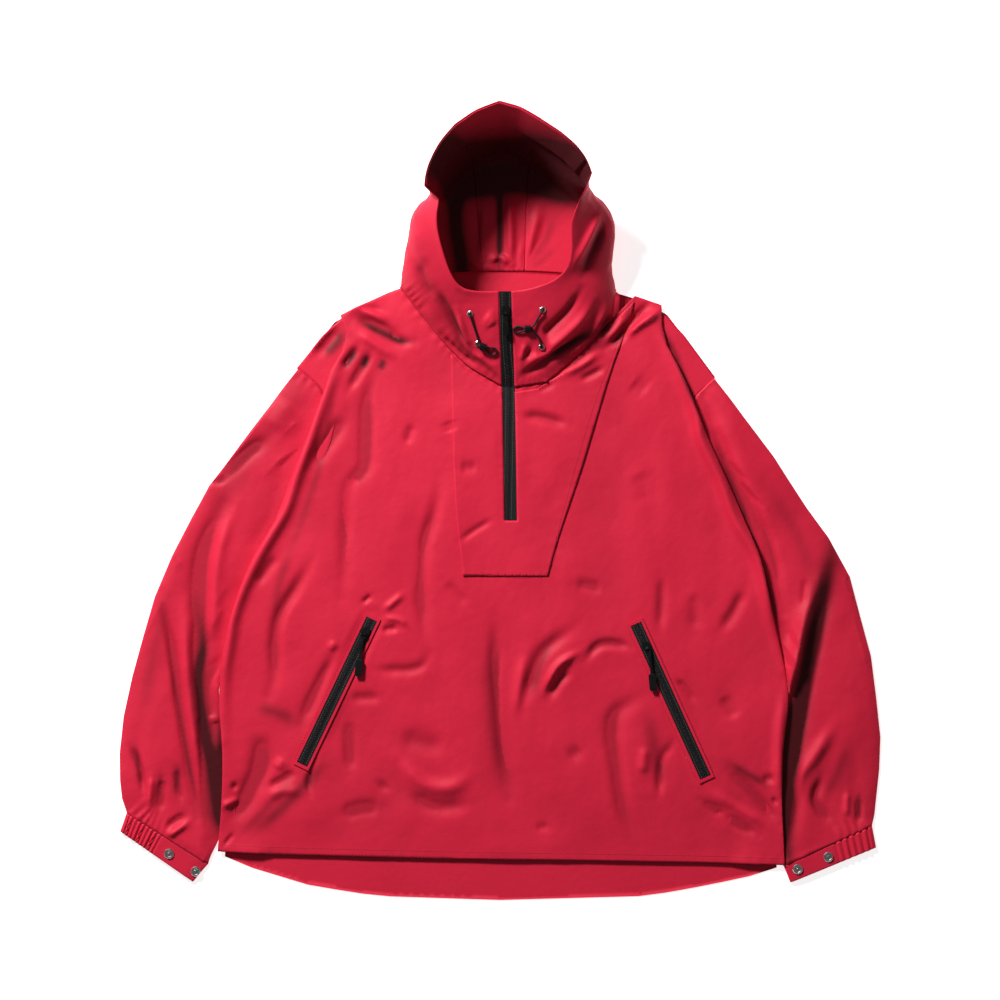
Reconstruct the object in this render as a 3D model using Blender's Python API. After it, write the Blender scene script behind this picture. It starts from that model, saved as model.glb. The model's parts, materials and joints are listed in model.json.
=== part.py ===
"""Hooded half-zip anorak pullover, laid flat on its back with the hood propped open.

Frame: +Z up, the back lies on z = 0, +Y points from the hem to the hood, and the origin is under the
middle of the whole garment. Tables hold millimetres; every mesh is made in metres.
"""

import math
from collections import namedtuple

import bmesh
import bpy
import numpy as np
from mathutils import Matrix, Vector
from mathutils.bvhtree import BVHTree

MM = 0.001

# ---- driving dimensions, in millimetres ----
CLOTH = 1.2  # one layer of shell cloth, with its seam allowance
SEAM_GAP = 0.4  # pieces stand this far apart at a seam
LAYER_GAP = 0.5  # air between two layers that lie on each other
BODY_TOP = 5.6  # outer face of the front where only the back lies under it
EDGE_TOP = 3.0  # outer face of the front along the shoulder line
HEM_TOP = 4.4  # outer face of the front along its hem
FOLD_RIDGE = 2.2  # how far the side folds stand above BODY_TOP
FOLD_REACH = 34.0  # how far in from a side fold its ridge fades out
ARMPIT_Y = -97.0
YOKE_Y = 100.0  # rows run straight across below this, and fan out to the shoulders above it
YOKE_ROWS = 6
SLEEVE_TOP = 6.2
BOWED_SECTIONS = 5  # sleeve sections over which the armhole's curve fades out
OUTER_TURN = 2.8  # how far the sleeve's outer edge stands beyond its last top point
INNER_TURN = 1.6
ARMPIT_CLEAR, ARMPIT_REACH = 1.3, 24.0  # the gap's growth by the armpit and the length it takes
ARMPIT_TURN = 4.2  # the same at the armhole, where the body's corner stands close
CUFF_CLOTH = 1.8  # the cuff band is doubled
ZIP_TAPE_WIDTH = 15.0
ZIP_TAPE = 1.0
ZIP_BOTTOM_Y = -17.0
POCKET_TAPE_WIDTH = 13.5
POCKET_TAPE = 0.9
WELT_WIDTH = 3.0
PLACKET_BOTTOM_Y = -85.0
PLACKET_SHORT = 7.0  # the placket stops this far below the neck seam
FACING_INSET = 2.1  # from the hood's mid surface to the facing's
FACING_WIDTH_SHARE = 0.2  # of the hood's depth from rim to neck
CORD_DIAMETER = 2.4

LAYER_1 = CLOTH / 2  # mid height of the cloth on the floor
LAYER_2 = LAYER_1 + CLOTH + LAYER_GAP
LAYER_3 = LAYER_2 + CLOTH + LAYER_GAP
OVER_LAYERS = LAYER_3 + CLOTH + LAYER_GAP + CLOTH / 2  # outer face of cloth that lies on three layers

# ---- tables, in millimetres ----
# Each side of the front is a Z-fold: the top layer turns under at the fold edge, runs in to the
# crease, and turns out again to the side seam and armhole.
SideSection = namedtuple("SideSection", "y fold crease seam")
LEFT_SIDE = (
    SideSection(y=-430, fold=-350, crease=-331, seam=-341),
    SideSection(y=-364, fold=-345, crease=-328, seam=-338),
    SideSection(y=-302, fold=-344, crease=-326, seam=-336),
    SideSection(y=-240, fold=-348, crease=-322, seam=-334),
    SideSection(y=-178, fold=-343, crease=-306, seam=-317),
    SideSection(y=-130, fold=-332, crease=-286, seam=-297),
    SideSection(y=-97, fold=-321, crease=-277, seam=-289),
    SideSection(y=-66, fold=-308, crease=-266, seam=-278),
    SideSection(y=-17, fold=-279, crease=-247, seam=-258),
    SideSection(y=33, fold=-260, crease=-229, seam=-239),
    SideSection(y=82, fold=-241, crease=-210, seam=-222),
    SideSection(y=120, fold=-227, crease=-202, seam=-217),
    SideSection(y=153, fold=-215, crease=-196, seam=-226),
    SideSection(y=172, fold=-209, crease=-192, seam=-252),
    SideSection(y=206, fold=-190, crease=-179, seam=-252),
    SideSection(y=238, fold=-198, crease=-187, seam=-252),
    SideSection(y=280, fold=-198, crease=-187, seam=-252),
)
RIGHT_SIDE = (
    SideSection(y=-441, fold=353, crease=333, seam=343),
    SideSection(y=-364, fold=349, crease=330, seam=340),
    SideSection(y=-302, fold=350, crease=330, seam=340),
    SideSection(y=-228, fold=357, crease=328, seam=339),
    SideSection(y=-178, fold=348, crease=313, seam=324),
    SideSection(y=-130, fold=337, crease=297, seam=308),
    SideSection(y=-97, fold=330, crease=290, seam=302),
    SideSection(y=-66, fold=323, crease=281, seam=292),
    SideSection(y=-17, fold=303, crease=261, seam=272),
    SideSection(y=33, fold=281, crease=239, seam=250),
    SideSection(y=82, fold=259, crease=222, seam=234),
    SideSection(y=120, fold=243, crease=219, seam=235),
    SideSection(y=137, fold=237, crease=216, seam=242),
    SideSection(y=161, fold=227, crease=212, seam=266),
    SideSection(y=213, fold=202, crease=189, seam=266),
    SideSection(y=250, fold=200, crease=188, seam=266),
    SideSection(y=280, fold=200, crease=188, seam=266),
)
ROWS_BELOW_YOKE = (-405, -380, -355, -330, -305, -280, -255, -230, -205, -180, -155, -130,
                   ARMPIT_Y, PLACKET_BOTTOM_Y, -60, -38, ZIP_BOTTOM_Y, 6, 30, 54, 78, YOKE_Y)

PanelLine = namedtuple("PanelLine", "y x")
ZIP_LINE = (PanelLine(-480, 13), PanelLine(-17, 13), PanelLine(82, 11.5), PanelLine(152, 10),
            PanelLine(205, 8), PanelLine(264, 6))
PLACKET_LEFT = (PanelLine(-480, -50), PanelLine(-85, -46), PanelLine(-17, -54), PanelLine(132, -60),
                PanelLine(280, -63))
PLACKET_RIGHT = (PanelLine(-480, 74), PanelLine(-85, 59), PanelLine(58, 104), PanelLine(200, 148),
                 PanelLine(241, 164), PanelLine(280, 168))

OutlinePoint = namedtuple("OutlinePoint", "x y")
FRONT_HEM = (OutlinePoint(-352, -426), OutlinePoint(-271, -430), OutlinePoint(-87, -435),
             OutlinePoint(74, -437), OutlinePoint(247, -440), OutlinePoint(356, -443))
TAIL_HEM = (OutlinePoint(-352, -428), OutlinePoint(-314, -445), OutlinePoint(-235, -469),
            OutlinePoint(-152, -482), OutlinePoint(-1, -487), OutlinePoint(182, -482),
            OutlinePoint(255, -469), OutlinePoint(311, -457), OutlinePoint(354, -443))

# Once round the hood from the left edge of the zip to its right edge. Each station runs from the neck
# seam over the base, where it leaves the floor, and the belly, where it is widest, to the face rim.
HoodStation = namedtuple("HoodStation", "name neck base belly rim")
HOOD = (
    HoodStation("zip left", (2.1, 150, 7.0), (0.9, 185, 20), (-0.6, 222, 32.5), (-1.9, 264, 42)),
    HoodStation("throat left", (-39, 173, 7.0), (-38, 201, 21), (-36, 233, 33), (-32, 264, 44)),
    HoodStation("jaw left", (-74, 208, 7.0), (-71, 228, 22), (-66, 247, 36), (-51, 269, 48)),
    HoodStation("neck left", (-104, 247, 7.0), (-104, 261, 22), (-98, 276, 38), (-62, 288, 54)),
    HoodStation("shoulder left", (-124, 272, 6.0), (-122, 285, 17), (-115, 304, 36), (-70, 312, 62)),
    HoodStation("cheek left", (-112, 281, LAYER_1), (-110, 312, 3), (-112, 331, 38), (-76, 336, 70)),
    HoodStation("ear left", (-95, 286, LAYER_1), (-99, 346, LAYER_1), (-109, 354, 42), (-77, 358, 79)),
    HoodStation("notch left", (-78, 289, LAYER_1), (-88, 364, LAYER_1), (-99, 371, 46), (-74, 372, 86)),
    HoodStation("brow left", (-62, 291, LAYER_1), (-68, 380, LAYER_1), (-77, 385, 50), (-91, 387, 95)),
    HoodStation("temple left", (-45, 292, LAYER_1), (-56, 400, LAYER_1), (-64, 407, 55), (-83, 420, 103)),
    HoodStation("crown left", (-22, 293, LAYER_1), (-34, 420, LAYER_1), (-39, 435, 58), (-55, 458, 109)),
    HoodStation("crown", (4, 293, LAYER_1), (0, 432, LAYER_1), (-1, 456, 60), (-1, 486, 112)),
    HoodStation("crown right", (30, 293, LAYER_1), (35, 422, LAYER_1), (38, 440, 58), (49, 465, 110)),
    HoodStation("temple right", (52, 292, LAYER_1), (66, 399, LAYER_1), (74, 414, 55), (92, 434, 105)),
    HoodStation("brow right", (70, 291, LAYER_1), (88, 382, LAYER_1), (99, 391, 50), (110, 402, 97)),
    HoodStation("ear right", (88, 289, LAYER_1), (108, 364, LAYER_1), (127, 373, 45), (96, 371, 87)),
    HoodStation("cheek right", (104, 286, LAYER_1), (122, 338, LAYER_1), (141, 345, 42), (86, 345, 78)),
    HoodStation("jowl right", (128, 280, LAYER_1), (127, 306, 3), (139, 317, 36), (87, 316, 66)),
    HoodStation("shoulder right", (143, 269, 6.0), (141, 279, 15), (134, 290, 30), (83, 293, 55)),
    HoodStation("neck right", (139, 235, 7.0), (132, 247, 21), (117, 262, 35), (68, 278, 49)),
    HoodStation("jaw right", (100, 192, 7.0), (93, 214, 21), (80, 238, 33), (44, 269, 45)),
    HoodStation("throat right", (58, 155, 7.0), (54, 186, 20), (47, 222, 32), (27, 265.5, 43)),
    HoodStation("zip right", (17.9, 149, 7.0), (16.8, 185, 20), (15.3, 222, 32.5), (13.9, 264, 42)),
)
HOOD_STEPS = 2  # columns between two stations
HOOD_ROWS = 12
CENTRE_STRIP = ("crown left", "crown right")
BACK_NECK = ("cheek left", "jowl right")
FACING_SPAN = ("brow left", "brow right")

# Sleeve sections from armhole to cuff: outer edge, then inner edge.
SleeveSection = namedtuple("SleeveSection", "outer_x outer_y inner_x inner_y")
LEFT_SLEEVE = (
    SleeveSection(-286, 126, -301, -107),
    SleeveSection(-324, 76, -307, -121),
    SleeveSection(-361, 27, -314, -137),
    SleeveSection(-381, -11, -322, -155),
    SleeveSection(-405, -60, -333, -178),
    SleeveSection(-427, -110, -345, -206),
    SleeveSection(-442, -159, -349.8, -234),
    SleeveSection(-456, -209, -350.4, -262),
    SleeveSection(-467, -259, -348, -292),
    SleeveSection(-472, -305, -346.6, -324),
    SleeveSection(-471.5, -338, -347.2, -360),
    SleeveSection(-469, -360, -350, -396),
    SleeveSection(-463, -378, -362, -442),
)
RIGHT_SLEEVE = (
    SleeveSection(302, 113, 313, -108),
    SleeveSection(339, 64, 319, -120),
    SleeveSection(380, 2, 327, -136),
    SleeveSection(407, -36, 334, -150),
    SleeveSection(433, -85, 343, -170),
    SleeveSection(446, -135, 352, -200),
    SleeveSection(459, -184, 358, -232),
    SleeveSection(466, -234, 358, -262),
    SleeveSection(471.5, -285, 353, -300),
    SleeveSection(470, -325, 351.6, -340),
    SleeveSection(466, -362, 352, -380),
    SleeveSection(464, -380, 353.5, -412),
    SleeveSection(461, -394, 351, -444),
)
Cuff = namedtuple("Cuff", "side outer_x outer_y inner_x inner_y gathers")
CUFFS = (
    Cuff("left", -471, -401, -380, -464, 9),
    Cuff("right", 466, -421, 359, -465, 6),
)
CUFF_SEAM_STEP = 0.95  # down the sleeve, which leaves the seam gap where the two tubes slant
ELASTIC_SHARE = 0.46  # of the cuff's width, from its outer edge

# Soft folds of the front: a line of plan points, the half width and the height, below zero for a trough.
Fold = namedtuple("Fold", "points width height")
FRONT_FOLDS = (
    Fold(((-186, 236), (-150, 222), (-112, 212)), 12, -2.0),
    Fold(((-196, 206), (-176, 196), (-158, 200)), 13, 2.4),
    Fold(((-190, 186), (-168, 168)), 8, -1.8),
    Fold(((-166, 184), (-152, 164)), 8, -1.8),
    Fold(((-150, 180), (-138, 158), (-176, 96)), 9, -1.8),
    Fold(((152, 216), (186, 232), (202, 246)), 11, 3.0),
    Fold(((136, 236), (170, 250)), 10, -1.8),
    Fold(((-86, 40), (-98, -60), (-94, -174)), 15, -1.9),
    Fold(((-60, 60), (-66, -40), (-64, -150)), 18, 2.0),
    Fold(((-168, 154), (-193, -36), (-196, -110)), 16, -1.9),
    Fold(((-226, -30), (-222, -90), (-214, -160)), 18, 2.6),
    Fold(((-244, -74), (-282, -150), (-288, -226)), 15, -2.0),
    Fold(((3, -137), (3, -200), (13, -357)), 14, -1.9),
    Fold(((-30, -170), (-34, -300), (-26, -400)), 20, 2.4),
    Fold(((50, -222), (105, -174), (168, -162)), 13, 3.4),
    Fold(((116, -173), (152, -176)), 10, -2.0),
    Fold(((218, -290), (198, -320), (195, -358)), 12, -2.0),
    Fold(((142, -264), (150, -330), (155, -415)), 13, -1.9),
    Fold(((178, -372), (190, -424)), 10, -1.8),
    Fold(((170, -250), (172, -330), (176, -400)), 15, 2.2),
    Fold(((250, -362), (315, -406)), 12, -2.0),
    Fold(((268, -326), (345, -388)), 12, -2.0),
    Fold(((262, -344), (330, -400)), 9, 2.4),
    Fold(((-280, -290), (-300, -330), (-330, -400)), 22, -2.2),
    Fold(((-244, -330), (-250, -370), (-288, -408)), 18, 2.8),
    Fold(((-120, -300), (-128, -380), (-134, -428)), 18, 2.0),
    Fold(((80, -260), (84, -340), (80, -430)), 18, 2.2),
    Fold(((230, 60), (262, -40), (290, -110)), 16, 1.6),
    Fold(((180, 60), (214, -60), (240, -130)), 18, -1.8),
    Fold(((-210, 60), (-240, -20), (-262, -90)), 14, 1.8),
)
SLEEVE_FOLDS = {
    "left": (
        Fold(((-283, 88), (-349, 29)), 12, -2.2),
        Fold(((-345, 3), (-361, -29), (-368, -77), (-371, -144), (-371, -196), (-371, -248)), 12, -2.6),
        Fold(((-392, -20), (-408, -90), (-412, -150), (-404, -230)), 18, 2.8),
        Fold(((-415, -113), (-408, -184), (-392, -274), (-381, -352), (-373, -392)), 9, -2.0),
        Fold(((-356, -262), (-362, -284)), 9, 2.2),
        Fold(((-434, -230), (-430, -290), (-420, -340)), 13, 2.6),
        Fold(((-452, -296), (-449, -327)), 6, -1.8),
        Fold(((-428, -333), (-411, -395)), 9, -2.0),
        Fold(((-403, -333), (-396, -352), (-398, -400)), 7, -2.0),
        Fold(((-300, 118), (-352, 60), (-376, 20)), 16, 2.0),
    ),
    "right": (
        Fold(((396, -82), (382, -122), (372, -165), (360, -220)), 9, 3.0),
        Fold(((412, -120), (400, -170), (388, -230), (368, -300)), 16, -2.6),
        Fold(((448, -150), (440, -220), (430, -300)), 16, 2.2),
        Fold(((300, 70), (330, 10), (352, -40)), 18, 1.8),
        Fold(((350, 40), (392, -30), (420, -90)), 14, -1.8),
        Fold(((412, -262), (404, -330), (396, -390)), 12, -2.0),
        Fold(((442, -310), (434, -384)), 8, -1.8),
        Fold(((390, -300), (384, -360), (378, -420)), 12, 2.2),
    ),
}

PocketZip = namedtuple("PocketZip", "side top_x top_y end_x end_y")
POCKETS = (
    PocketZip("left", -159, -139, -245, -318),
    PocketZip("right", 168, -145, 254, -334),
)
Spot = namedtuple("Spot", "name x y")
SNAPS = (
    Spot("snap_left_outer", -410, -429),
    Spot("snap_left_inner", -377, -451),
    Spot("snap_right_outer", 406, -433),
    Spot("snap_right_inner", 368, -448),
)
EYELETS = (
    Spot("eyelet_left_upper", -37, 237),
    Spot("eyelet_left_lower", -27.5, 201),
    Spot("eyelet_right_upper", 52, 242),
    Spot("eyelet_right_lower", 51, 197),
)

SNAP_CLEARANCE = 0.5
SNAP_SIDES = 14
EYELET_SIDES = 12
EYELET_SEAT = 0.6  # from the cloth to the eyelet's own zero
SNAP_PROFILE = (
    (0, 0), (6.25, 0), (6.25, 0.9), (5.5, 1.7), (4.1, 1.7), (3.4, 1.1), (1.7, 1.1), (1.3, 1.9), (0, 2.0),
)
EYELET_PROFILE = ((2.0, 0.2), (2.6, 0), (4.0, 0), (4.0, 0.4), (3.3, 1.0), (2.4, 1.0), (2.0, 0.7))

TAPE_RISE = 0.9  # the zip tape's mid surface above the front's, between the placket's edges
FRONT_SLIDER_Y = 238.0
POCKET_SLIDER = {"left": 20.0, "right": 33.0}  # from the pocket zip's top end to its pull's pivot
WELT_HEIGHT = 1.5
SLIDER_OUTLINE = ((-3.0, -5.5), (3.0, -5.5), (4.6, -1.0), (4.9, 4.0), (4.2, 8.0), (2.0, 9.2),
                  (-2.0, 9.2), (-4.2, 8.0), (-4.9, 4.0), (-4.6, -1.0))
SLIDER_FOOT = 0.35
SLIDER_TOP = 2.8
PIVOT_HEIGHT = 4.0
BRIDGE_RADIUS = 2.4
BRIDGE_GAP = 1.35
BRIDGE_WIDTH = 3.2
PULL_SLOT_HALF = 2.1
BEND_FROM = -9.0  # a pocket's pull turns to hang down from here on
PULL_BEND = {"left": math.radians(19), "right": math.radians(-18)}
PullSection = namedtuple("PullSection", "y half_width half_height")
FRONT_PULL = (
    PullSection(0.65, 3.4, 0.6), PullSection(-0.65, 3.4, 0.6), PullSection(-3.2, 3.4, 0.6),
    PullSection(-6.0, 2.4, 0.6), PullSection(-9.5, 2.2, 0.7), PullSection(-12.0, 3.3, 1.1),
    PullSection(-25.0, 3.6, 1.1), PullSection(-27.0, 2.6, 0.8),
)
POCKET_PULL = (
    PullSection(0.65, 3.4, 0.6), PullSection(-0.65, 3.4, 0.6), PullSection(-3.2, 3.4, 0.6),
    PullSection(-6.5, 2.2, 0.6), PullSection(-9.5, 1.5, 0.9), PullSection(-31.0, 1.5, 0.9),
    PullSection(-33.5, 4.2, 1.3), PullSection(-50.0, 4.6, 1.3), PullSection(-53.0, 3.4, 1.0),
)

Cord = namedtuple("Cord", "name route")
CORDS = (
    Cord("drawcord_left", (
        (-37.1, 237.5, 37.4), (-36.3, 233.8, 37.4), (-35.0, 229.5, 35.4),
        (-32.8, 223.0, 32.7), (-30.2, 215.5, 30.2), (-27.8, 208.0, 28.4), (-25.9, 202.6, 27.4),
        (-23.8, 199.3, 26.9), (-20.0, 197.7, 26.75), (-16.1, 196.1, 26.6), (-12.3, 195.6, 25.6),
        (-8.0, 195.6, 25.5), (-4.6, 193.2, 25.0), (-4.4, 189.8, 23.8), (-7.6, 187.2, 22.4),
        (-11.8, 187.9, 22.6), (-15.0, 190.8, 24.2), (-17.2, 193.5, 25.6), (-21.0, 195.1, 25.65),
        (-24.9, 196.7, 25.8), (-27.2, 198.4, 26.1), (-28.3, 200.4, 25.7),
    )),
    Cord("drawcord_right", (
        (52.2, 243.0, 39.4), (50.8, 238.8, 40.1), (48.6, 234.8, 38.7),
        (45.2, 229.0, 36.6), (42.2, 223.8, 35.7), (38.6, 220.2, 35.9), (34.0, 219.65, 35.85),
        (29.8, 219.65, 35.7), (25.4, 220.8, 35.1), (20.6, 221.2, 34.7), (16.6, 218.6, 34.0),
        (16.8, 215.4, 33.0), (20.8, 213.9, 32.6), (25.6, 215.0, 33.6), (29.8, 216.7, 34.9),
        (34.0, 216.75, 35.05), (38.2, 216.7, 35.0), (42.6, 214.6, 33.3), (46.4, 209.5, 31.0),
        (49.0, 203.6, 29.8), (50.0, 200.2, 29.3), (50.6, 197.6, 27.7), (51.0, 196.3, 26.3),
    )),
)
LockSize = namedtuple("LockSize", "length width height bore_width bore_height")
LOCK = LockSize(length=7.0, width=9.4, height=6.0, bore_width=6.4, bore_height=3.4)
Lock = namedtuple("Lock", "name centre along normal")
LOCKS = (
    Lock("cord_lock_left", (-20.5, 196.4, 26.2), (0.92, -0.38, -0.01), (-0.13, -0.34, 0.93)),
    Lock("cord_lock_right", (34.0, 218.2, 35.45), (-1.0, 0.0, 0.0), (0.0, -0.27, 0.96)),
)


# ---- shared tools ----
def smooth(t):
    t = np.clip(t, 0.0, 1.0)
    return t * t * (3 - 2 * t)


def curve(at, values, t):
    """A smooth curve through a table, by its slope at each row."""
    at, values = np.asarray(at, float), np.asarray(values, float)
    slope = np.gradient(values, at, axis=0)
    t = np.clip(t, at[0], at[-1])
    i = int(np.clip(np.searchsorted(at, t) - 1, 0, len(at) - 2))
    h = at[i + 1] - at[i]
    u = (t - at[i]) / h
    return (
        values[i] * (2 * u**3 - 3 * u**2 + 1)
        + values[i + 1] * (3 * u**2 - 2 * u**3)
        + slope[i] * h * (u**3 - 2 * u**2 + u)
        + slope[i + 1] * h * (u**3 - u**2)
    )


def line_x(table, y):
    return float(curve([row.y for row in table], [row.x for row in table], y))


def outline_y(table, x):
    return float(np.interp(x, [p.x for p in table], [p.y for p in table]))


def fold_relief(folds, x, y):
    """Height added at a plan point by a table of soft folds; each fades at its ends."""
    total = 0.0
    here = np.array((x, y))
    for fold in folds:
        points = [np.array(p, float) for p in fold.points]
        steps = [np.linalg.norm(b - a) for a, b in zip(points, points[1:])]
        length, done, best = sum(steps), 0.0, (1e9, 0.0)
        for a, b, step in zip(points, points[1:], steps):
            t = float(np.clip(np.dot(here - a, b - a) / step**2, 0, 1))
            best = min(best, (float(np.linalg.norm(here - a - t * (b - a))), (done + t * step) / length))
            done += step
        across = math.exp(-((best[0] / fold.width) ** 2))
        total += fold.height * across * (0.25 + 0.75 * math.sin(math.pi * best[1]) ** 0.6)
    return total


def normals(grid, loop):
    """Unit normals of a grid [row][column], from its neighbours both ways."""
    down = np.gradient(grid, axis=0)
    if loop:
        across = np.roll(grid, -1, axis=1) - np.roll(grid, 1, axis=1)
    else:
        across = np.gradient(grid, axis=1)
    normal = np.cross(across, down)
    return normal / np.linalg.norm(normal, axis=2, keepdims=True)


def material(name, colour, roughness, metallic=0.0):
    made = bpy.data.materials.get(name) or bpy.data.materials.new(name)
    made.use_nodes = True
    shader = made.node_tree.nodes["Principled BSDF"]
    shader.inputs["Base Color"].default_value = (*colour, 1)
    shader.inputs["Roughness"].default_value = roughness
    shader.inputs["Metallic"].default_value = metallic
    made.diffuse_color = (*colour, 1)
    return made


def shell_cloth():
    return material("shell_cloth", (0.60, 0.022, 0.055), 0.45)


def black_trim():
    return material("black_trim", (0.015, 0.015, 0.018), 0.55)


def steel():
    return material("steel", (0.62, 0.60, 0.57), 0.3, 1.0)


def cord_cloth():
    return material("cord_cloth", (0.02, 0.02, 0.022), 0.8)


def finish(name, mesh_edit, finish_of, placed=None):
    """Turn a bmesh in millimetres into a named object in metres, facing out and shaded smooth."""
    bmesh.ops.recalc_face_normals(mesh_edit, faces=mesh_edit.faces)
    bmesh.ops.scale(mesh_edit, vec=(MM, MM, MM), verts=mesh_edit.verts)
    mesh = bpy.data.meshes.new(name)
    mesh_edit.to_mesh(mesh)
    mesh_edit.free()
    mesh.shade_smooth()
    mesh.set_sharp_from_angle(angle=math.radians(50))
    made = bpy.data.objects.new(name, mesh)
    bpy.context.scene.collection.objects.link(made)
    made.data.materials.append(finish_of)
    made.matrix_world = (placed or Matrix.Identity(4)) @ Matrix.Identity(4)
    return made


def placement(origin, along, normal):
    """A frame in metres at a point in millimetres: its Y runs along, its Z stands on the cloth."""
    z_axis = Vector(normal).normalized()
    x_axis = Vector(along).cross(z_axis).normalized()
    y_axis = z_axis.cross(x_axis)
    frame = Matrix((x_axis, y_axis, z_axis)).transposed().to_4x4()
    frame.translation = Vector(origin) * MM
    return frame


def wall(name, mid, thickness, finish_of, keep=None, loop=False):
    """A closed cloth wall on both sides of a mid grid [row][column]."""
    half = normals(mid, loop) * (thickness / 2)
    return slab(name, mid + half, mid - half, finish_of, keep, loop)


def slab(name, outer, inner, finish_of, keep=None, loop=False, placed=None):
    """A closed solid between two grids; keep says which cells are there.

    Each cell is halved the same way on both sides, so that a warped one keeps its thickness.
    """
    rows, columns = outer.shape[:2]
    across = columns if loop else columns - 1
    keep = np.ones((rows - 1, across), bool) if keep is None else keep
    edit = bmesh.new()
    faces = {}

    def vertex(side, i, j):
        key = (side, i, j % columns)
        if key not in faces:
            faces[key] = edit.verts.new((outer, inner)[side][i, j % columns])
        return faces[key]

    for i in range(rows - 1):
        for j in range(across):
            if not keep[i, j]:
                continue
            corners = ((i, j), (i, j + 1), (i + 1, j + 1), (i + 1, j))
            middle = [(outer[a, b % columns] + inner[a, b % columns]) / 2 for a, b in corners]
            turn = np.linalg.norm(middle[0] - middle[2]) > np.linalg.norm(middle[1] - middle[3])
            for half in ((0, 1, 2), (0, 2, 3)):
                triangle = [corners[(k + turn) % 4] for k in half]
                edit.faces.new([vertex(0, *c) for c in triangle])
                edit.faces.new([vertex(1, *c) for c in reversed(triangle)])
            beside = ((i - 1, j), (i, j + 1), (i + 1, j), (i, j - 1))
            for k, (ni, nj) in enumerate(beside):
                nj = nj % across if loop else nj
                if 0 <= ni < rows - 1 and 0 <= nj < across and keep[ni, nj]:
                    continue
                a, b = corners[k], corners[(k + 1) % 4]
                edit.faces.new([vertex(0, *b), vertex(0, *a), vertex(1, *a), vertex(1, *b)])
    return finish(name, edit, finish_of, placed)


def turned(name, profile, segments, finish_of, placed):
    """A piece turned about Z from a profile of radius and height; a radius of 0 closes it."""
    edit = bmesh.new()
    rings = []
    for radius, z in profile:
        if radius == 0:
            rings.append([edit.verts.new((0, 0, z))] * segments)
        else:
            turns = [2 * math.pi * k / segments for k in range(segments)]
            rings.append([edit.verts.new((radius * math.cos(t), radius * math.sin(t), z)) for t in turns])
    closed = profile[0][0] > 0
    for i in range(len(rings) if closed else len(rings) - 1):
        a, b = rings[i], rings[(i + 1) % len(rings)]
        for k in range(segments):
            n = (k + 1) % segments
            corners = list(dict.fromkeys((a[k], a[n], b[n], b[k])))
            if len(corners) > 2:
                edit.faces.new(corners)
    return finish(name, edit, finish_of, placed)


def prism(edit, outline, low, high, upright=False):
    """Extrude a plan outline between two heights; an upright one is drawn in Y and Z, along X."""
    place = (lambda a, b, c: (c, a, b)) if upright else (lambda a, b, c: (a, b, c))
    ends = [[edit.verts.new(place(a, b, c)) for a, b in outline] for c in (low, high)]
    edit.faces.new(ends[0])
    edit.faces.new(ends[1])
    for k in range(len(outline)):
        n = (k + 1) % len(outline)
        edit.faces.new((ends[0][k], ends[0][n], ends[1][n], ends[1][k]))


def surface_of(*objects):
    """What is seen from above, for seating a piece: a height and normal at a plan point."""
    depsgraph = bpy.context.evaluated_depsgraph_get()
    trees = [BVHTree.FromObject(o, depsgraph) for o in objects]

    def at(x, y):
        hits = [t.ray_cast(Vector((x * MM, y * MM, 1.0)), Vector((0, 0, -1))) for t in trees]
        hits = [h for h in hits if h[0] is not None]
        if not hits:
            raise ValueError(f"nothing lies under {x:.1f}, {y:.1f}")
        best = max(hits, key=lambda h: h[0].z)
        normal = best[1] if best[1].z > 0 else -best[1]
        return best[0] / MM, normal

    return at


# ---- the body ----
def side_line(table, column, y):
    return float(curve([row.y for row in table], [getattr(row, column) for row in table], y))


def hood_station(name):
    return next(s for s in HOOD if s.name == name)


def top_line():
    """The plan line that the front ends on: left shoulder, neck seam, right shoulder."""
    neck = sorted((s.neck[0], s.neck[1]) for s in HOOD if s.neck[2] > LAYER_1)
    return [(-252, 172), (-198, 238), *neck, (200, 250), (266, 161)]


def column_at(x_of_y, row):
    """The plan point of a column on a row: a height below the yoke, else a share of the way up."""
    kind, value = row
    if kind == "hem":
        x = x_of_y(-430)
        return x, outline_y(FRONT_HEM, x)
    if kind == "straight":
        return x_of_y(value), value
    line = top_line()
    xs, ys = [p[0] for p in line], [p[1] for p in line]
    low, high = YOKE_Y, 290.0
    for _ in range(40):
        middle = (low + high) / 2
        if np.interp(x_of_y(middle), xs, ys) > middle:
            low = middle
        else:
            high = middle
    y = YOKE_Y + value * (low - YOKE_Y)
    return x_of_y(y), y


def body_rows():
    straight = [("straight", y) for y in ROWS_BELOW_YOKE]
    return [("hem", 0.0), *straight, *(("fan", (i + 1) / YOKE_ROWS) for i in range(YOKE_ROWS))]


def seam_point(table, row):
    """Side seam and armhole: up to the shoulder tip on the fanned rows."""
    kind, value = row
    if kind != "fan":
        return column_at(lambda y: side_line(table, "seam", y), row)
    tip_y = 172 if table is LEFT_SIDE else 161
    y = YOKE_Y + value * (tip_y - YOKE_Y)
    return side_line(table, "seam", y), y


def armhole(table):
    """Plan points of the armhole from the armpit to the shoulder tip, one for each body row."""
    rows = body_rows()
    start = rows.index(("straight", ARMPIT_Y))
    return [seam_point(table, row) for row in rows[start:]]


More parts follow.
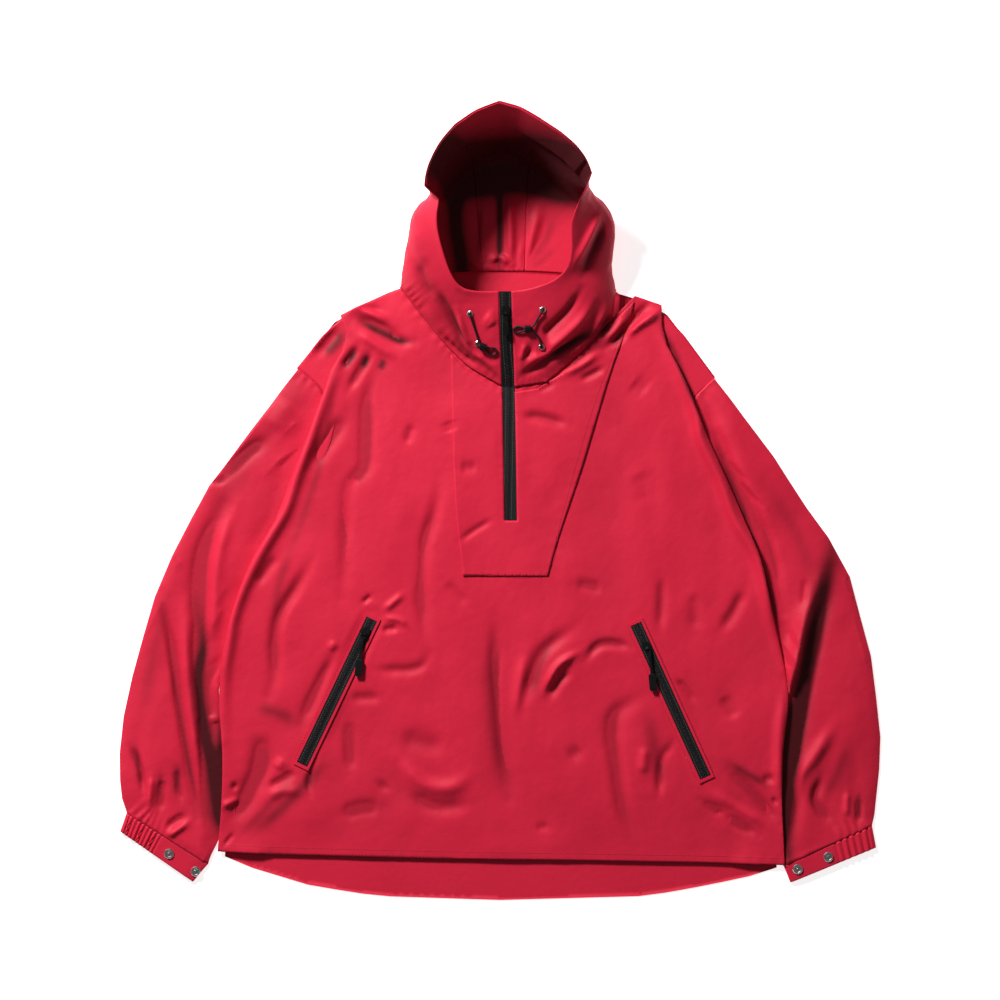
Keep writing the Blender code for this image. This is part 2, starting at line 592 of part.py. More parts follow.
def front_top(x, y):
    """Outer height of the front's top layer."""
    left = side_line(LEFT_SIDE, "fold", y)
    right = side_line(RIGHT_SIDE, "fold", y)
    inside = min(x - left, right - x)
    height = BODY_TOP + FOLD_RIDGE * (1 - smooth(inside / FOLD_REACH))
    line = top_line()
    below_top = np.interp(x, [p[0] for p in line], [p[1] for p in line]) - y
    on_shoulder = x < HOOD[4].neck[0] or x > hood_station("shoulder right").neck[0]
    if on_shoulder:
        height = EDGE_TOP + (height - EDGE_TOP) * smooth((below_top + 4) / 24)
    above_hem = y - outline_y(FRONT_HEM, x)
    height += (HEM_TOP - BODY_TOP) * (1 - smooth(above_hem / 60))
    by_zip = abs(x - line_x(ZIP_LINE, y)) if y > ZIP_BOTTOM_Y - 30 else 60.0
    by_pocket = min(pocket_distance(p, x, y) for p in POCKETS)
    calm = smooth((by_zip - 12) / 24) * smooth((by_pocket - 14) / 22) * smooth((below_top - 6) / 24)
    height += fold_relief(FRONT_FOLDS, x, y) * calm
    lowest = LAYER_1 * 2 + LAYER_GAP + CLOTH + 0.3
    crease = min(x - side_line(LEFT_SIDE, "crease", y), side_line(RIGHT_SIDE, "crease", y) - x)
    over = OVER_LAYERS + 0.15 - lowest
    return max(height, lowest + over * (1 - smooth((crease - 22) / 24)))


def pocket_distance(pocket, x, y):
    a, b = np.array((pocket.top_x, pocket.top_y), float), np.array((pocket.end_x, pocket.end_y), float)
    here = np.array((x, y))
    t = float(np.clip(np.dot(here - a, b - a) / np.dot(b - a, b - a), 0, 1))
    return float(np.linalg.norm(here - a - t * (b - a)))


def arc(centre_x, centre_z, radius, inward, start, end, count):
    """Points of a turn of the cloth: inward is +1 where +X leads in from the side."""
    turns = np.radians(np.linspace(start, end, count))
    return [(centre_x - inward * radius * math.sin(t), centre_z - radius * math.cos(t)) for t in turns]


def front_columns():
    """Columns of the top layer: a pair of lines and the share between them."""
    folds = [lambda y, t=t: side_line(t, "fold", y) for t in (LEFT_SIDE, RIGHT_SIDE)]
    slit = ZIP_TAPE_WIDTH / 2 + SEAM_GAP
    lines = [
        folds[0],
        lambda y: line_x(PLACKET_LEFT, y),
        lambda y: line_x(ZIP_LINE, y) - slit,
        lambda y: line_x(ZIP_LINE, y) + slit,
        lambda y: line_x(PLACKET_RIGHT, y),
        folds[1],
    ]
    counts = (9, 3, 1, 4, 8)
    columns, marks = [], []
    for i, count in enumerate(counts):
        marks.append(len(columns))
        for k in range(count):
            share = k / count
            columns.append(lambda y, a=lines[i], b=lines[i + 1], s=share: (1 - s) * a(y) + s * b(y))
    marks.append(len(columns))
    columns.append(lines[-1])
    return columns, marks


def side_points(table, row, inward, fold_top):
    """The hidden part of a side, from the seam over the crease and round the fold edge."""
    seam = seam_point(table, row)
    crease = column_at(lambda y: side_line(table, "crease", y), row)
    fold = column_at(lambda y: side_line(table, "fold", y), row)
    middle = [(seam[0] + crease[0]) / 2, (seam[1] + crease[1]) / 2]
    if row[0] == "fan":
        tip = seam_point(table, ("fan", 1.0))
        end = column_at(lambda y: side_line(table, "crease", y), ("fan", 1.0))
        line = top_line()
        on_line = np.interp((tip[0] + end[0]) / 2, [p[0] for p in line], [p[1] for p in line])
        middle[1] += row[1] ** 2 * (on_line - (tip[1] + end[1]) / 2)
    turn = (LAYER_3 - LAYER_2) / 2
    points = [(*seam, LAYER_2), (*middle, LAYER_2)]
    for x, z in arc(crease[0], (LAYER_2 + LAYER_3) / 2, turn, -inward, 0, 180, 5):
        points.append((x, crease[1], z))
    radius = (fold_top - CLOTH / 2 - LAYER_3) / 2
    centre = fold[0] + inward * (radius + CLOTH / 2)
    for x, z in arc(centre, LAYER_3 + radius, radius, inward, 0, 180, 6)[:-1]:
        points.append((x, fold[1], z))
    return points, radius


def front_grid():
    """Mid grid of the front, from seam to seam, and where its marked columns stand."""
    columns, marks = front_columns()
    grid = []
    for row in body_rows():
        places = [column_at(c, row) for c in columns]
        tops = [front_top(x, y) for x, y in places]
        left, left_radius = side_points(LEFT_SIDE, row, 1, tops[0])
        right, right_radius = side_points(RIGHT_SIDE, row, -1, tops[-1])
        places[0] = (places[0][0] + left_radius + CLOTH / 2, places[0][1])
        places[-1] = (places[-1][0] - right_radius - CLOTH / 2, places[-1][1])
        top = [(x, y, z - CLOTH / 2) for (x, y), z in zip(places, tops)]
        grid.append(left + top + right[::-1])
    hidden = len(left)
    return np.array(grid), [hidden + m for m in marks]


def make_body():
    grid, marks = front_grid()
    rows = body_rows()
    keep = np.ones((len(rows) - 1, grid.shape[1] - 1), bool)
    zip_row = rows.index(("straight", ZIP_BOTTOM_Y))
    keep[zip_row:, marks[2]] = False
    front = wall("front_panel", grid, CLOTH, shell_cloth(), keep)

    first = rows.index(("straight", PLACKET_BOTTOM_Y))
    lift = normals(grid, False) * (CLOTH + SEAM_GAP)
    patch = (grid + lift)[first:, marks[1] : marks[4] + 1].copy()
    back = patch[-2] - patch[-1]
    patch[-1] += back / np.linalg.norm(back, axis=1, keepdims=True) * PLACKET_SHORT
    patch_keep = keep[first:, marks[1] : marks[4]].copy()
    wall("placket_panel", patch, CLOTH, shell_cloth(), patch_keep)
    return front, grid, marks


def make_back():
    """The back lies flat on the floor, and its tail drops below the front's hem."""
    rows = body_rows()
    names = [s.name for s in HOOD]
    neck = HOOD[names.index(BACK_NECK[0]) : names.index(BACK_NECK[1]) + 1]
    top = [(-252, 172), (-205, 229), (-158, 255), (-128, 268)]
    top += [(s.neck[0], s.neck[1] - SEAM_GAP) for s in neck]
    top += [(147, 264), (174, 256), (207, 238), (266, 161)]
    shares = np.linspace(0, 1, len(top))
    grid = []
    for i, row in enumerate(rows[:-1]):
        a, b = seam_point(LEFT_SIDE, row), seam_point(RIGHT_SIDE, row)
        line = []
        for share, end in zip(shares, top):
            x = a[0] + share * (b[0] - a[0])
            y = a[1] + share * (b[1] - a[1])
            if i == 0:
                y = outline_y(TAIL_HEM, x)
            if row[0] == "fan":
                x += row[1] ** 2 * (end[0] - (top[0][0] + share * (top[-1][0] - top[0][0])))
                y += row[1] * (end[1] - (top[0][1] + share * (top[-1][1] - top[0][1])))
            line.append((x, y, LAYER_1))
        grid.append(line)
    grid.append([(x, y, LAYER_1) for x, y in top])
    grid = np.array(grid)
    armpit = rows.index(("straight", ARMPIT_Y))
    grid = np.concatenate([grid[:1], grid[2:armpit:2], grid[armpit:]])
    return wall("back_panel", grid, CLOTH, shell_cloth())


# ---- sleeves and cuffs ----
def beyond_fold(side, x, y):
    """How far a sleeve's plan point lies outside the body's side fold."""
    table = LEFT_SIDE if side == "left" else RIGHT_SIDE
    return (1 if side == "right" else -1) * (x - side_line(table, "fold", y)) if y > -420 else 99.0


def sleeve_heights(side, tops):
    """Outer heights of a sleeve's top points: low wherever a face would reach under the body's fold."""
    beyond = np.array([[beyond_fold(side, x, y) for x, y in top] for top in tops])
    padded = np.pad(beyond, 1, mode="edge")
    rows, columns = beyond.shape
    nearest = np.min([padded[i : i + rows, j : j + columns] for i in range(3) for j in range(3)], axis=0)
    free = smooth((beyond - 3) / 14) * (nearest > 2.0)
    low = LAYER_2 + CLOTH / 2
    full = np.array([[SLEEVE_TOP + fold_relief(SLEEVE_FOLDS[side], x, y) for x, y in top] for top in tops])
    return low + np.maximum(full - low, 0.4) * free


def sleeve_ring(top, heights, beyond):
    """One closed section: the top points, the inner turn, the floor points, the outer turn.

    beyond holds the plan directions in which the outer and the inner edge turn under.
    """
    ring = [(x, y, z - CLOTH / 2) for (x, y), z in zip(top, heights)]
    floor = [(x, y, LAYER_1) for x, y in reversed(top)]

    def turn(point, direction):
        radius = (point[2] - LAYER_1) / 2
        return [
            (
                point[0] + direction[0] * radius * math.sin(t),
                point[1] + direction[1] * radius * math.sin(t),
                LAYER_1 + radius + radius * math.cos(t),
            )
            for t in np.radians((45, 90, 135))
        ]

    return ring + turn(ring[-1], beyond[1]) + floor + turn(ring[0], beyond[0])[::-1]


def edge_directions(plan, column, inside):
    """Plan directions at right angles to a grid's edge column, away from the column inside it."""
    run = np.gradient(plan[:, column], axis=0)
    away = np.stack([run[:, 1], -run[:, 0]], axis=1) / np.linalg.norm(run, axis=1, keepdims=True)
    return away * np.sign(((plan[:, column] - plan[:, inside]) * away).sum(axis=1))[:, None]


def sleeve_grid(side):
    table = LEFT_SIDE if side == "left" else RIGHT_SIDE
    sections = LEFT_SLEEVE if side == "left" else RIGHT_SLEEVE
    hole = np.array(armhole(table)[::-1])
    along = np.gradient(hole, axis=0)
    away = np.stack([along[:, 1], -along[:, 0]], axis=1) * (1 if side == "left" else -1)
    steps = np.cumsum([0] + list(np.linalg.norm(np.diff(hole, axis=0), axis=1)))
    shares = steps / steps[-1]
    clear = SEAM_GAP * 1.25 + ARMPIT_CLEAR * np.clip(1 - (steps[-1] - steps) / ARMPIT_REACH, 0, 1)
    hole = list(hole + away / np.linalg.norm(away, axis=1, keepdims=True) * clear[:, None])
    bow = [p - (hole[0] + s * (hole[-1] - hole[0])) for p, s in zip(hole, shares)]
    edges = [(hole[0], hole[-1], 1.0)]
    for i, s in enumerate(sections):
        bowed = float(smooth(1 - (i + 1) / BOWED_SECTIONS))
        edges.append((np.array((s.outer_x, s.outer_y)), np.array((s.inner_x, s.inner_y)), bowed))
    for i in range(BOWED_SECTIONS, 0, -1):
        edges.insert(i, tuple((a + b) / 2 for a, b in zip(edges[i - 1], edges[i])))
    tops = []
    for i, (outer, inner, bowed) in enumerate(edges):
        width = np.linalg.norm(inner - outer)
        first, last = OUTER_TURN / width, 1 - (INNER_TURN if i else ARMPIT_TURN) / width
        at = first + shares * (last - first)
        bowed_by = np.array([np.interp(at, shares, column) for column in np.transpose(bow)]).T
        tops.append(list(outer + at[:, None] * (inner - outer) + bowed * bowed_by))
    heights = sleeve_heights(side, tops)
    heights[0] = low = LAYER_2 + CLOTH / 2
    heights[:, 0] = np.maximum(heights[:, 0] - 1.4, low)
    heights[:, -1] = low + 0.25 * (heights[:, -1] - low)
    plan = np.array(tops)
    outer_way, inner_way = edge_directions(plan, 0, 1), edge_directions(plan, -1, -2)
    at_armhole, at_cuff = (row / np.linalg.norm(row) for row in plan[[0, -1], -1] - plan[[0, -1], 0])
    outer_way[-1], inner_way[-1] = -at_cuff, at_cuff
    # at the armpit the edge turns between its own way and the armhole's, clear of the body's corner
    inner_way[0] = (inner_way[0] + at_armhole) / np.linalg.norm(inner_way[0] + at_armhole)
    beyond = zip(outer_way, inner_way)
    return np.array([sleeve_ring(*section) for section in zip(tops, heights, beyond)])


def make_sleeve(side):
    grid = sleeve_grid(side)
    return wall(f"sleeve_{side}", grid if side == "left" else grid[:, ::-1], CLOTH, shell_cloth(), loop=True)


def make_cuff(cuff):
    """A doubled band: its outer part is drawn up in gathers, its inner part is a flat tab."""
    sections = LEFT_SLEEVE if cuff.side == "left" else RIGHT_SLEEVE
    last = sections[-1]
    head = (np.array((last.outer_x, last.outer_y)), np.array((last.inner_x, last.inner_y)))
    foot = (np.array((cuff.outer_x, cuff.outer_y)), np.array((cuff.inner_x, cuff.inner_y)))
    per_gather = 4
    shares = list(np.linspace(0, ELASTIC_SHARE, cuff.gathers * per_gather + 1))
    shares += list(np.linspace(ELASTIC_SHARE, 1, 6))[1:]
    floor_shares = np.linspace(1, 0, 9)
    rows = []
    for depth in (0.0, 0.33, 0.67, 1.0):
        outer = head[0] + depth * (foot[0] - head[0])
        inner = head[1] + depth * (foot[1] - head[1])
        down = (foot[0] - head[0]) / np.linalg.norm(foot[0] - head[0])
        if depth == 0.0:
            outer, inner = outer + down * CUFF_SEAM_STEP, inner + down * CUFF_SEAM_STEP
        across = (inner - outer) / np.linalg.norm(inner - outer)
        outer, inner = outer + 3.0 * across, inner - 2.6 * across
        tops = []
        for k, share in enumerate(shares):
            wave = math.cos(2 * math.pi * k / per_gather) if share < ELASTIC_SHARE - 1e-6 else 0.0
            uneven = 1.2 + 0.4 * math.sin(2.1 * k / per_gather)
            tops.append((*(outer + share * (inner - outer)), 5.2 + wave * uneven * (0.7 + 0.3 * depth)))
        tops[0] = (*tops[0][:2], 4.2)
        tops[-1] = (*tops[-1][:2], 4.0)
        floor = [(*(outer + s * (inner - outer)), CUFF_CLOTH / 2) for s in floor_shares]

        def turn(point, direction):
            radius = (point[2] - CUFF_CLOTH / 2) / 2
            return [
                (
                    point[0] + direction * across[0] * radius * math.sin(t),
                    point[1] + direction * across[1] * radius * math.sin(t),
                    CUFF_CLOTH / 2 + radius + radius * math.cos(t),
                )
                for t in np.radians((45, 90, 135))
            ]

        rows.append(tops + turn(tops[-1], 1) + floor + turn(tops[0], -1)[::-1])
    grid = np.array(rows)
    if cuff.side == "right":
        grid = grid[:, ::-1]
    return wall(f"cuff_{cuff.side}", grid, CUFF_CLOTH, shell_cloth(), loop=True)


# ---- the hood ----
def hood_grid():
    """Mid grid of the hood, rows from neck to rim and columns once round it."""
    count = (len(HOOD) - 1) * HOOD_STEPS + 1
    at = np.arange(len(HOOD)) * HOOD_STEPS
    columns = []
    for c in range(count):
        neck = np.array([np.interp(c, at, [s.neck[k] for s in HOOD]) for k in range(3)])
        rest = [curve(at, [getattr(s, part) for s in HOOD], c) for part in ("base", "belly", "rim")]
        knots = np.array([neck, *rest])
        lengths = np.cumsum([0.0] + [np.linalg.norm(b - a) for a, b in zip(knots, knots[1:])])
        column = [curve(lengths, knots, t) for t in np.linspace(0, lengths[-1], HOOD_ROWS + 1)]
        column[0] = neck
        columns.append([(x, y, max(z, LAYER_1)) for x, y, z in column])
    return np.array(columns).transpose(1, 0, 2)


def make_hood():
    grid = hood_grid()
    names = [s.name for s in HOOD]
    cuts = [names.index(n) * HOOD_STEPS for n in CENTRE_STRIP]
    spans = (("hood_left", 0, cuts[0]), ("hood_centre", cuts[0], cuts[1]), ("hood_right", cuts[1], None))
    made = []
    for name, first, last in spans:
        part = grid[:, first : None if last is None else last + 1].copy()
        if first:
            step = part[:, 1] - part[:, 0]
            part[:, 0] += step / np.linalg.norm(step, axis=1, keepdims=True) * (SEAM_GAP / 2)
        if last is not None:
            step = part[:, -2] - part[:, -1]
            part[:, -1] += step / np.linalg.norm(step, axis=1, keepdims=True) * (SEAM_GAP / 2)
        made.append(wall(name, part[::-1], CLOTH, shell_cloth()))
    inward = -normals(grid[::-1], False)[::-1]
    inward = np.pad(inward, ((1, 1), (1, 1), (0, 0)), mode="edge")
    inward = sum(inward[i : i + grid.shape[0], j : j + grid.shape[1]] for i in range(3) for j in range(3))
    inward /= np.linalg.norm(inward, axis=2, keepdims=True)
    rows = max(2, round(HOOD_ROWS * FACING_WIDTH_SHARE))
    ends = [names.index(n) * HOOD_STEPS for n in FACING_SPAN]
    facing = (grid + inward * FACING_INSET)[-1 - rows :, ends[0] : ends[1]]
    made.append(wall("hood_facing", facing[::-1], CLOTH, shell_cloth()))
    return made, grid


# ---- zips ----
def tape_rows(grid, marks, hood_mid):
    """Plan points and mid heights up the front zip, from its lower end to the collar's edge."""
    rows = body_rows()
    first = rows.index(("straight", ZIP_BOTTOM_Y))
    left, right = grid[first:, marks[2]], grid[first:, marks[3]]
    body = (left + right) / 2 + np.array((0, 0, TAPE_RISE))
    collar = (hood_mid[1:, 0] + hood_mid[1:, -1]) / 2
    body[0, 1] += SEAM_GAP
    body[-1, 1] -= 1.0
    return np.concatenate([body, collar])


def make_front_zip(rows):
    across = np.array((ZIP_TAPE_WIDTH / 2, 0, 0))
    grid = np.stack([rows - across, rows, rows + across], axis=1)
    wall("front_zip_tape", grid, ZIP_TAPE, black_trim())
    at = np.interp(FRONT_SLIDER_Y, rows[:, 1], range(len(rows)))
    point = np.array([np.interp(at, range(len(rows)), rows[:, k]) for k in range(3)])
    along = rows[min(int(at) + 1, len(rows) - 1)] - rows[int(at)]
    along[0] = 0.0
    normal = np.cross((1, 0, 0), along)
    normal = normal / np.linalg.norm(normal)
    make_slider("front", point + normal * ZIP_TAPE / 2, along, normal, FRONT_PULL, 0.0)


def make_slider(side, point, along, normal, sections, bend):
    """A slider body with its bridge, and the pull whose bar turns under the bridge."""
    frame = placement(point, along, normal)
    edit = bmesh.new()
    prism(edit, SLIDER_OUTLINE, SLIDER_FOOT, SLIDER_TOP)
    body = finish(f"{side}_slider", edit, black_trim(), frame)
    edit = bmesh.new()
    turns = [math.radians(a) for a in range(0, 181, 30)]
    outside = [(BRIDGE_RADIUS * math.cos(t), PIVOT_HEIGHT + BRIDGE_RADIUS * math.sin(t)) for t in turns]
    inside = [(BRIDGE_GAP * math.cos(t), PIVOT_HEIGHT + BRIDGE_GAP * math.sin(t)) for t in turns]
    sunk = SLIDER_TOP - 0.8
    outline = [(BRIDGE_RADIUS, sunk), *outside, (-BRIDGE_RADIUS, sunk)]
    outline += [(-BRIDGE_GAP, sunk), *inside[::-1], (BRIDGE_GAP, sunk)]
    prism(edit, outline, -BRIDGE_WIDTH / 2, BRIDGE_WIDTH / 2, upright=True)
    bridge = finish(f"{side}_bridge_form", edit, black_trim(), frame)
    bridge.hide_render = True
    bridge.display_type = "WIRE"
    join = body.modifiers.new("bridge", "BOOLEAN")
    join.operation, join.object, join.solver = "UNION", bridge, "EXACT"

    pivot = np.array(point) + np.array(normal) * PIVOT_HEIGHT
    rows = []
    centre, heading = np.array((0.0, sections[0].y)), np.array((0.0, -1.0))
    for before, part in zip((sections[0], *sections), sections):
        if part.y < BEND_FROM and bend:
            heading = np.array((math.sin(bend), -math.cos(bend)))
        centre = centre + heading * (before.y - part.y)
        sideways = np.array((-heading[1], heading[0]))
        xs = (-part.half_width, -PULL_SLOT_HALF, PULL_SLOT_HALF, part.half_width)
        if part.half_width < PULL_SLOT_HALF + 0.4:
            xs = (-part.half_width, -part.half_width / 3, part.half_width / 3, part.half_width)
        rows.append([(*(centre + sideways * x), part.half_height) for x in xs])
    upper = np.array(rows)
    keep = np.ones((len(sections) - 1, 3), bool)
    keep[1, 1] = False
    lower = upper * np.array((1, 1, -1))
    slab(f"{side}_pull", upper, lower, black_trim(), keep, placed=placement(pivot, along, normal))


def pocket_strip(pocket, surface, half_widths, lift, first=0.0, last=0.0, step=11.0):
    """Grid on the front along a pocket zip, seated on the highest cloth near each of its points."""
    a, b = np.array((pocket.top_x, pocket.top_y), float), np.array((pocket.end_x, pocket.end_y), float)
    length = np.linalg.norm(b - a)
    along = (b - a) / length
    across = np.array((-along[1], along[0]))
    at = np.linspace(first, length + last, round(length / step))
    grid = []
    for t in at:
        row = []
        for w in half_widths:
            x, y = a + along * t + across * w
            near = ((0, 0), (4, 0), (-4, 0), (0, 4), (0, -4))
            height = max(surface(x + dx, y + dy)[0].z for dx, dy in near)
            row.append((x, y, height + lift))
        grid.append(row)
    return np.array(grid)


def make_pocket(pocket, front):
    surface = surface_of(front)
    half = POCKET_TAPE_WIDTH / 2
    tape = pocket_strip(pocket, surface, (-half, 0, half), LAYER_GAP)
    rise = np.array((0, 0, POCKET_TAPE))
    slab(f"pocket_zip_tape_{pocket.side}", tape + rise, tape, black_trim())
    inner, outer = half + SEAM_GAP, half + SEAM_GAP + WELT_WIDTH
    frame = pocket_strip(pocket, surface, (-outer, -inner, inner, outer), LAYER_GAP, -4.4, 4.4, 10.0)
    ends = pocket_strip(pocket, surface, (-outer, -inner, inner, outer), LAYER_GAP, -0.5, 0.5, 10.0)
    frame = np.concatenate([frame[:1], ends, frame[-1:]])
    keep = np.ones((len(frame) - 1, 3), bool)
    keep[1:-1, 1] = False
    rise = np.array((0, 0, WELT_HEIGHT))
    slab(f"pocket_welt_{pocket.side}", frame + rise, frame, shell_cloth(), keep)

    a, b = np.array((pocket.top_x, pocket.top_y), float), np.array((pocket.end_x, pocket.end_y), float)
    along = (a - b) / np.linalg.norm(b - a)
    place = a - along * POCKET_SLIDER[pocket.side]
    ats = np.linspace(0, 1, len(tape))
    share = POCKET_SLIDER[pocket.side] / np.linalg.norm(b - a)
    top = max(np.interp([share - 0.06, share, share + 0.06], ats, tape[:, 1, 2])) + POCKET_TAPE
    make_slider(pocket.side, (*place, top), (*along, 0), (0, 0, 1), POCKET_PULL, PULL_BEND[pocket.side])


# ---- snaps, eyelets and drawcords ----
def make_snaps(cuffs):
    for spot in SNAPS:
        point, normal = surface_of(*cuffs)(spot.x, spot.y)
        normal = (normal + Vector((0, 0, 2))).normalized()
        frame = placement(point + normal * SNAP_CLEARANCE, (0, 1, 0), normal)
        turned(spot.name, SNAP_PROFILE, SNAP_SIDES, steel(), frame)


def make_eyelets(hood):
    surface = surface_of(*hood)
    for spot in EYELETS:
        point, normal = surface(spot.x, spot.y)
        seat = placement(point + normal * EYELET_SEAT, (0, 1, 0), normal)
        turned(spot.name, EYELET_PROFILE, EYELET_SIDES, steel(), seat)


def smooth_route(points, step):
    """Points along a smooth curve through a cord's own points."""
    knots = np.array(points, float)
    at = np.cumsum([0.0] + [np.linalg.norm(b - a) for a, b in zip(knots, knots[1:])])
    return [curve(at, knots, t) for t in np.linspace(0, at[-1], round(at[-1] / step) + 1)]


def make_cord(cord):
    data = bpy.data.curves.new(cord.name, "CURVE")
    data.dimensions = "3D"
    data.bevel_depth = CORD_DIAMETER / 2 * MM
    data.bevel_resolution = 2
    data.use_fill_caps = True
    spline = data.splines.new("POLY")
    route = smooth_route(cord.route, CORD_DIAMETER * 1.1)
    spline.points.add(len(route) - 1)
    for point, place in zip(spline.points, route):
        point.co = (*(Vector(place) * MM), 1)
    made = bpy.data.objects.new(cord.name, data)
    bpy.context.scene.collection.objects.link(made)
    data.materials.append(cord_cloth())


def make_lock(lock):
    """A short sleeve with an oval bore that holds both strands of the cord."""
    turns = np.linspace(0, 2 * math.pi, 20, endpoint=False)

    def ring(half_width, half_height, y):
        power = 0.7
        xs = np.sign(np.cos(turns)) * np.abs(np.cos(turns)) ** power * half_width
        zs = np.sign(np.sin(turns)) * np.abs(np.sin(turns)) ** power * half_height
        return np.stack([xs, np.full_like(xs, y), zs], axis=1)

    ends = (-LOCK.length / 2, LOCK.length / 2)
    outer = np.array([ring(LOCK.width / 2, LOCK.height / 2, y) for y in ends])
    inner = np.array([ring(LOCK.bore_width / 2, LOCK.bore_height / 2, y) for y in ends])
    placed = placement(lock.centre, lock.along, lock.normal)
    slab(lock.name, outer, inner, black_trim(), loop=True, placed=placed)


def start_clean():
    for old in list(bpy.data.objects):
        bpy.data.objects.remove(old, do_unlink=True)


def main():
    start_clean()
    front, grid, marks = make_body()
    make_back()
    for side in ("left", "right"):
        make_sleeve(side)
    cuffs = [make_cuff(cuff) for cuff in CUFFS]
    hood, hood_mid = make_hood()
    make_front_zip(tape_rows(grid, marks, hood_mid))
    for pocket in POCKETS:
        make_pocket(pocket, front)
    make_snaps(cuffs)
    make_eyelets(hood)
    for cord in CORDS:
        make_cord(cord)
    for lock in LOCKS:
        make_lock(lock)


main()
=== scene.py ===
"""Anorak pullover, laid out flat: its fine cloth, trims, materials and stage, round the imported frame."""

import json
import math
from collections import namedtuple

import bmesh
import bpy
import numpy as np
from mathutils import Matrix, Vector
from mathutils.bvhtree import BVHTree
from mathutils.kdtree import KDTree

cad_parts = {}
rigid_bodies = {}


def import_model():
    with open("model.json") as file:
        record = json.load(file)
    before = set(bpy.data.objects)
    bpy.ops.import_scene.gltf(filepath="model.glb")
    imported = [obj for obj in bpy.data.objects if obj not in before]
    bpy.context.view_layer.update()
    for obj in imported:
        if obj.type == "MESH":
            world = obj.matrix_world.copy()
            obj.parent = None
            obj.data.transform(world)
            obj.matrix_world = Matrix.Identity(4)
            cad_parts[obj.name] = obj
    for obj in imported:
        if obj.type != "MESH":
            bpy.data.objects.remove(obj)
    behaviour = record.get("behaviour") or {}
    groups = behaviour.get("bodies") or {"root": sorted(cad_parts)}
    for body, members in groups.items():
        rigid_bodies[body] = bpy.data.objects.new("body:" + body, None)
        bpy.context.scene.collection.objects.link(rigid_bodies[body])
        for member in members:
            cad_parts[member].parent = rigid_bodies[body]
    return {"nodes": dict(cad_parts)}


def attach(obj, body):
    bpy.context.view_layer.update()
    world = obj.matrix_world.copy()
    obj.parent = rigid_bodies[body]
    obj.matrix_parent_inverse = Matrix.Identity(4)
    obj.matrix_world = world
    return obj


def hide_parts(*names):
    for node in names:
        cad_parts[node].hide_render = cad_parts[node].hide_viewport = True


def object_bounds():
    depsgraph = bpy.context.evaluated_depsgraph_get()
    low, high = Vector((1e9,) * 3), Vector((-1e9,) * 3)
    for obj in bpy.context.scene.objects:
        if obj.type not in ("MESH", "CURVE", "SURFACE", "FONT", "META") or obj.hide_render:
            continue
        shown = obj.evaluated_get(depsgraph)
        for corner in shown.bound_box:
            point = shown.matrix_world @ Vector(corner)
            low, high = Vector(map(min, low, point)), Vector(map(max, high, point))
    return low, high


bl_info = {
    "name": "Anorak Pullover",
    "version": (1, 0, 0),
    "blender": (4, 5, 0),
    "location": "View3D > Sidebar > Anorak",
    "description": "Makes the cloth, trims and stage of a hooded pullover that lies flat",
    "category": "Object",
}

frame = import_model()
CAD_BOX = [list(corner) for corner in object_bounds()]
NODES = frame["nodes"]
GARMENT = "garment"
MM = 0.001

# ---- sizes, in mm unless a comment says otherwise ----
CLOTH_WALL = 1.2  # as the solids are; the cuffs are doubled
CUFF_WALL = 1.8
SHOWN_WALL, FACING_SHOWN_WALL, CUFF_SHOWN_WALL = 0.9, 0.7, 1.0  # as the fine sheets are drawn
WELD = 2e-5  # m, within which a solid's points are one
RIM_ANGLE = 1.3  # radians; a sheet never bends as sharply as it meets its rim
NARROW_WALLS, RIM_WALLS = 1.6, 1.9  # how wide a rim's face is, and how thick the cloth behind it, at most
LEVEL_COSINE = 0.97  # faces that bend more than this keep the edge between them
BENT_COSINE = 0.94  # and the points of an edge that bends more than this stay where they are
LEAST_GAIN, LEAST_AREA = 0.05, 0.02  # radians that turning an edge gains, and the share each new face keeps
CORNER_TURN = 0.55  # radians; a border point that turns by more than this is a corner
BACK_MESH, HOOD_MESH, CUFF_MESH, QUICK_MESH = 2, 0.8, 0.6, 1.8
UNDER_HEIGHT = 3.4  # below which the front's folded-in cloth lies
CORD_DIAMETER = 2.4
CREASE_DEPTH = 1.7  # share by which every crease in the lists is deepened
CREASE_END, CREASE_END_LEFT = 0.3, 0.15  # share of its length over which it fades, and of its height left
# painted shade: every trough's colour is darkened by its depth, up to a limit
TROUGH_SHADE = 14.0  # a trough this deep would be wholly shaded
TROUGH_MOST = 0.35  # but no trough is shaded more than this
# the cloth's waves, from wide to fine: their size across and along, a shift of each, and their height
WAVES = ((64, 88, 0, 0, 1.5), (29, 38, 7, 0, 0.63), (9, 11, 3, 5, 0.12))
BODY_SEED, SLEEVE_SEED, HOOD_SEED = 3, 13, 23
LIFT_FADE = 34  # from the hem, over which its lifts fade out
HEM_FOLD = (0.35, 8.2, 9.6)  # the hem's doubled cloth: how much it adds, and where that fades out

# what counts as the upper side, each as a fade from none to all: how far cloth faces up, as the
# height of its normal, and how high it lies
BODY_FACES_UP, SLEEVE_FACES_UP, HOOD_FACES_UP, HOOD_OUTSIDE = (0.2, 0.6), (0.1, 0.5), (0.1, 0.6), (-0.1, 0.4)
BODY_LAID, SLEEVE_LAID = (3.9, 5.5), (1.6, 3.4)
# from a sheet's border, where its creases and its puckers come in
SLEEVE_CREASES_IN, SLEEVE_PUCKERS_IN, HOOD_RELIEF_IN = (0, 9), (0, 2.5), (0, 8)
UNDER_WAVES, HOOD_WAVES = 0.5, 0.7  # share of the waves' height in the folded-in cloth and on the hood
# the body's and the sleeves' upper sides don't sink below these, and their other cloth is free to
BODY_LEAST, SLEEVE_LEAST, NO_LEAST = 2.6, 2.4, -9

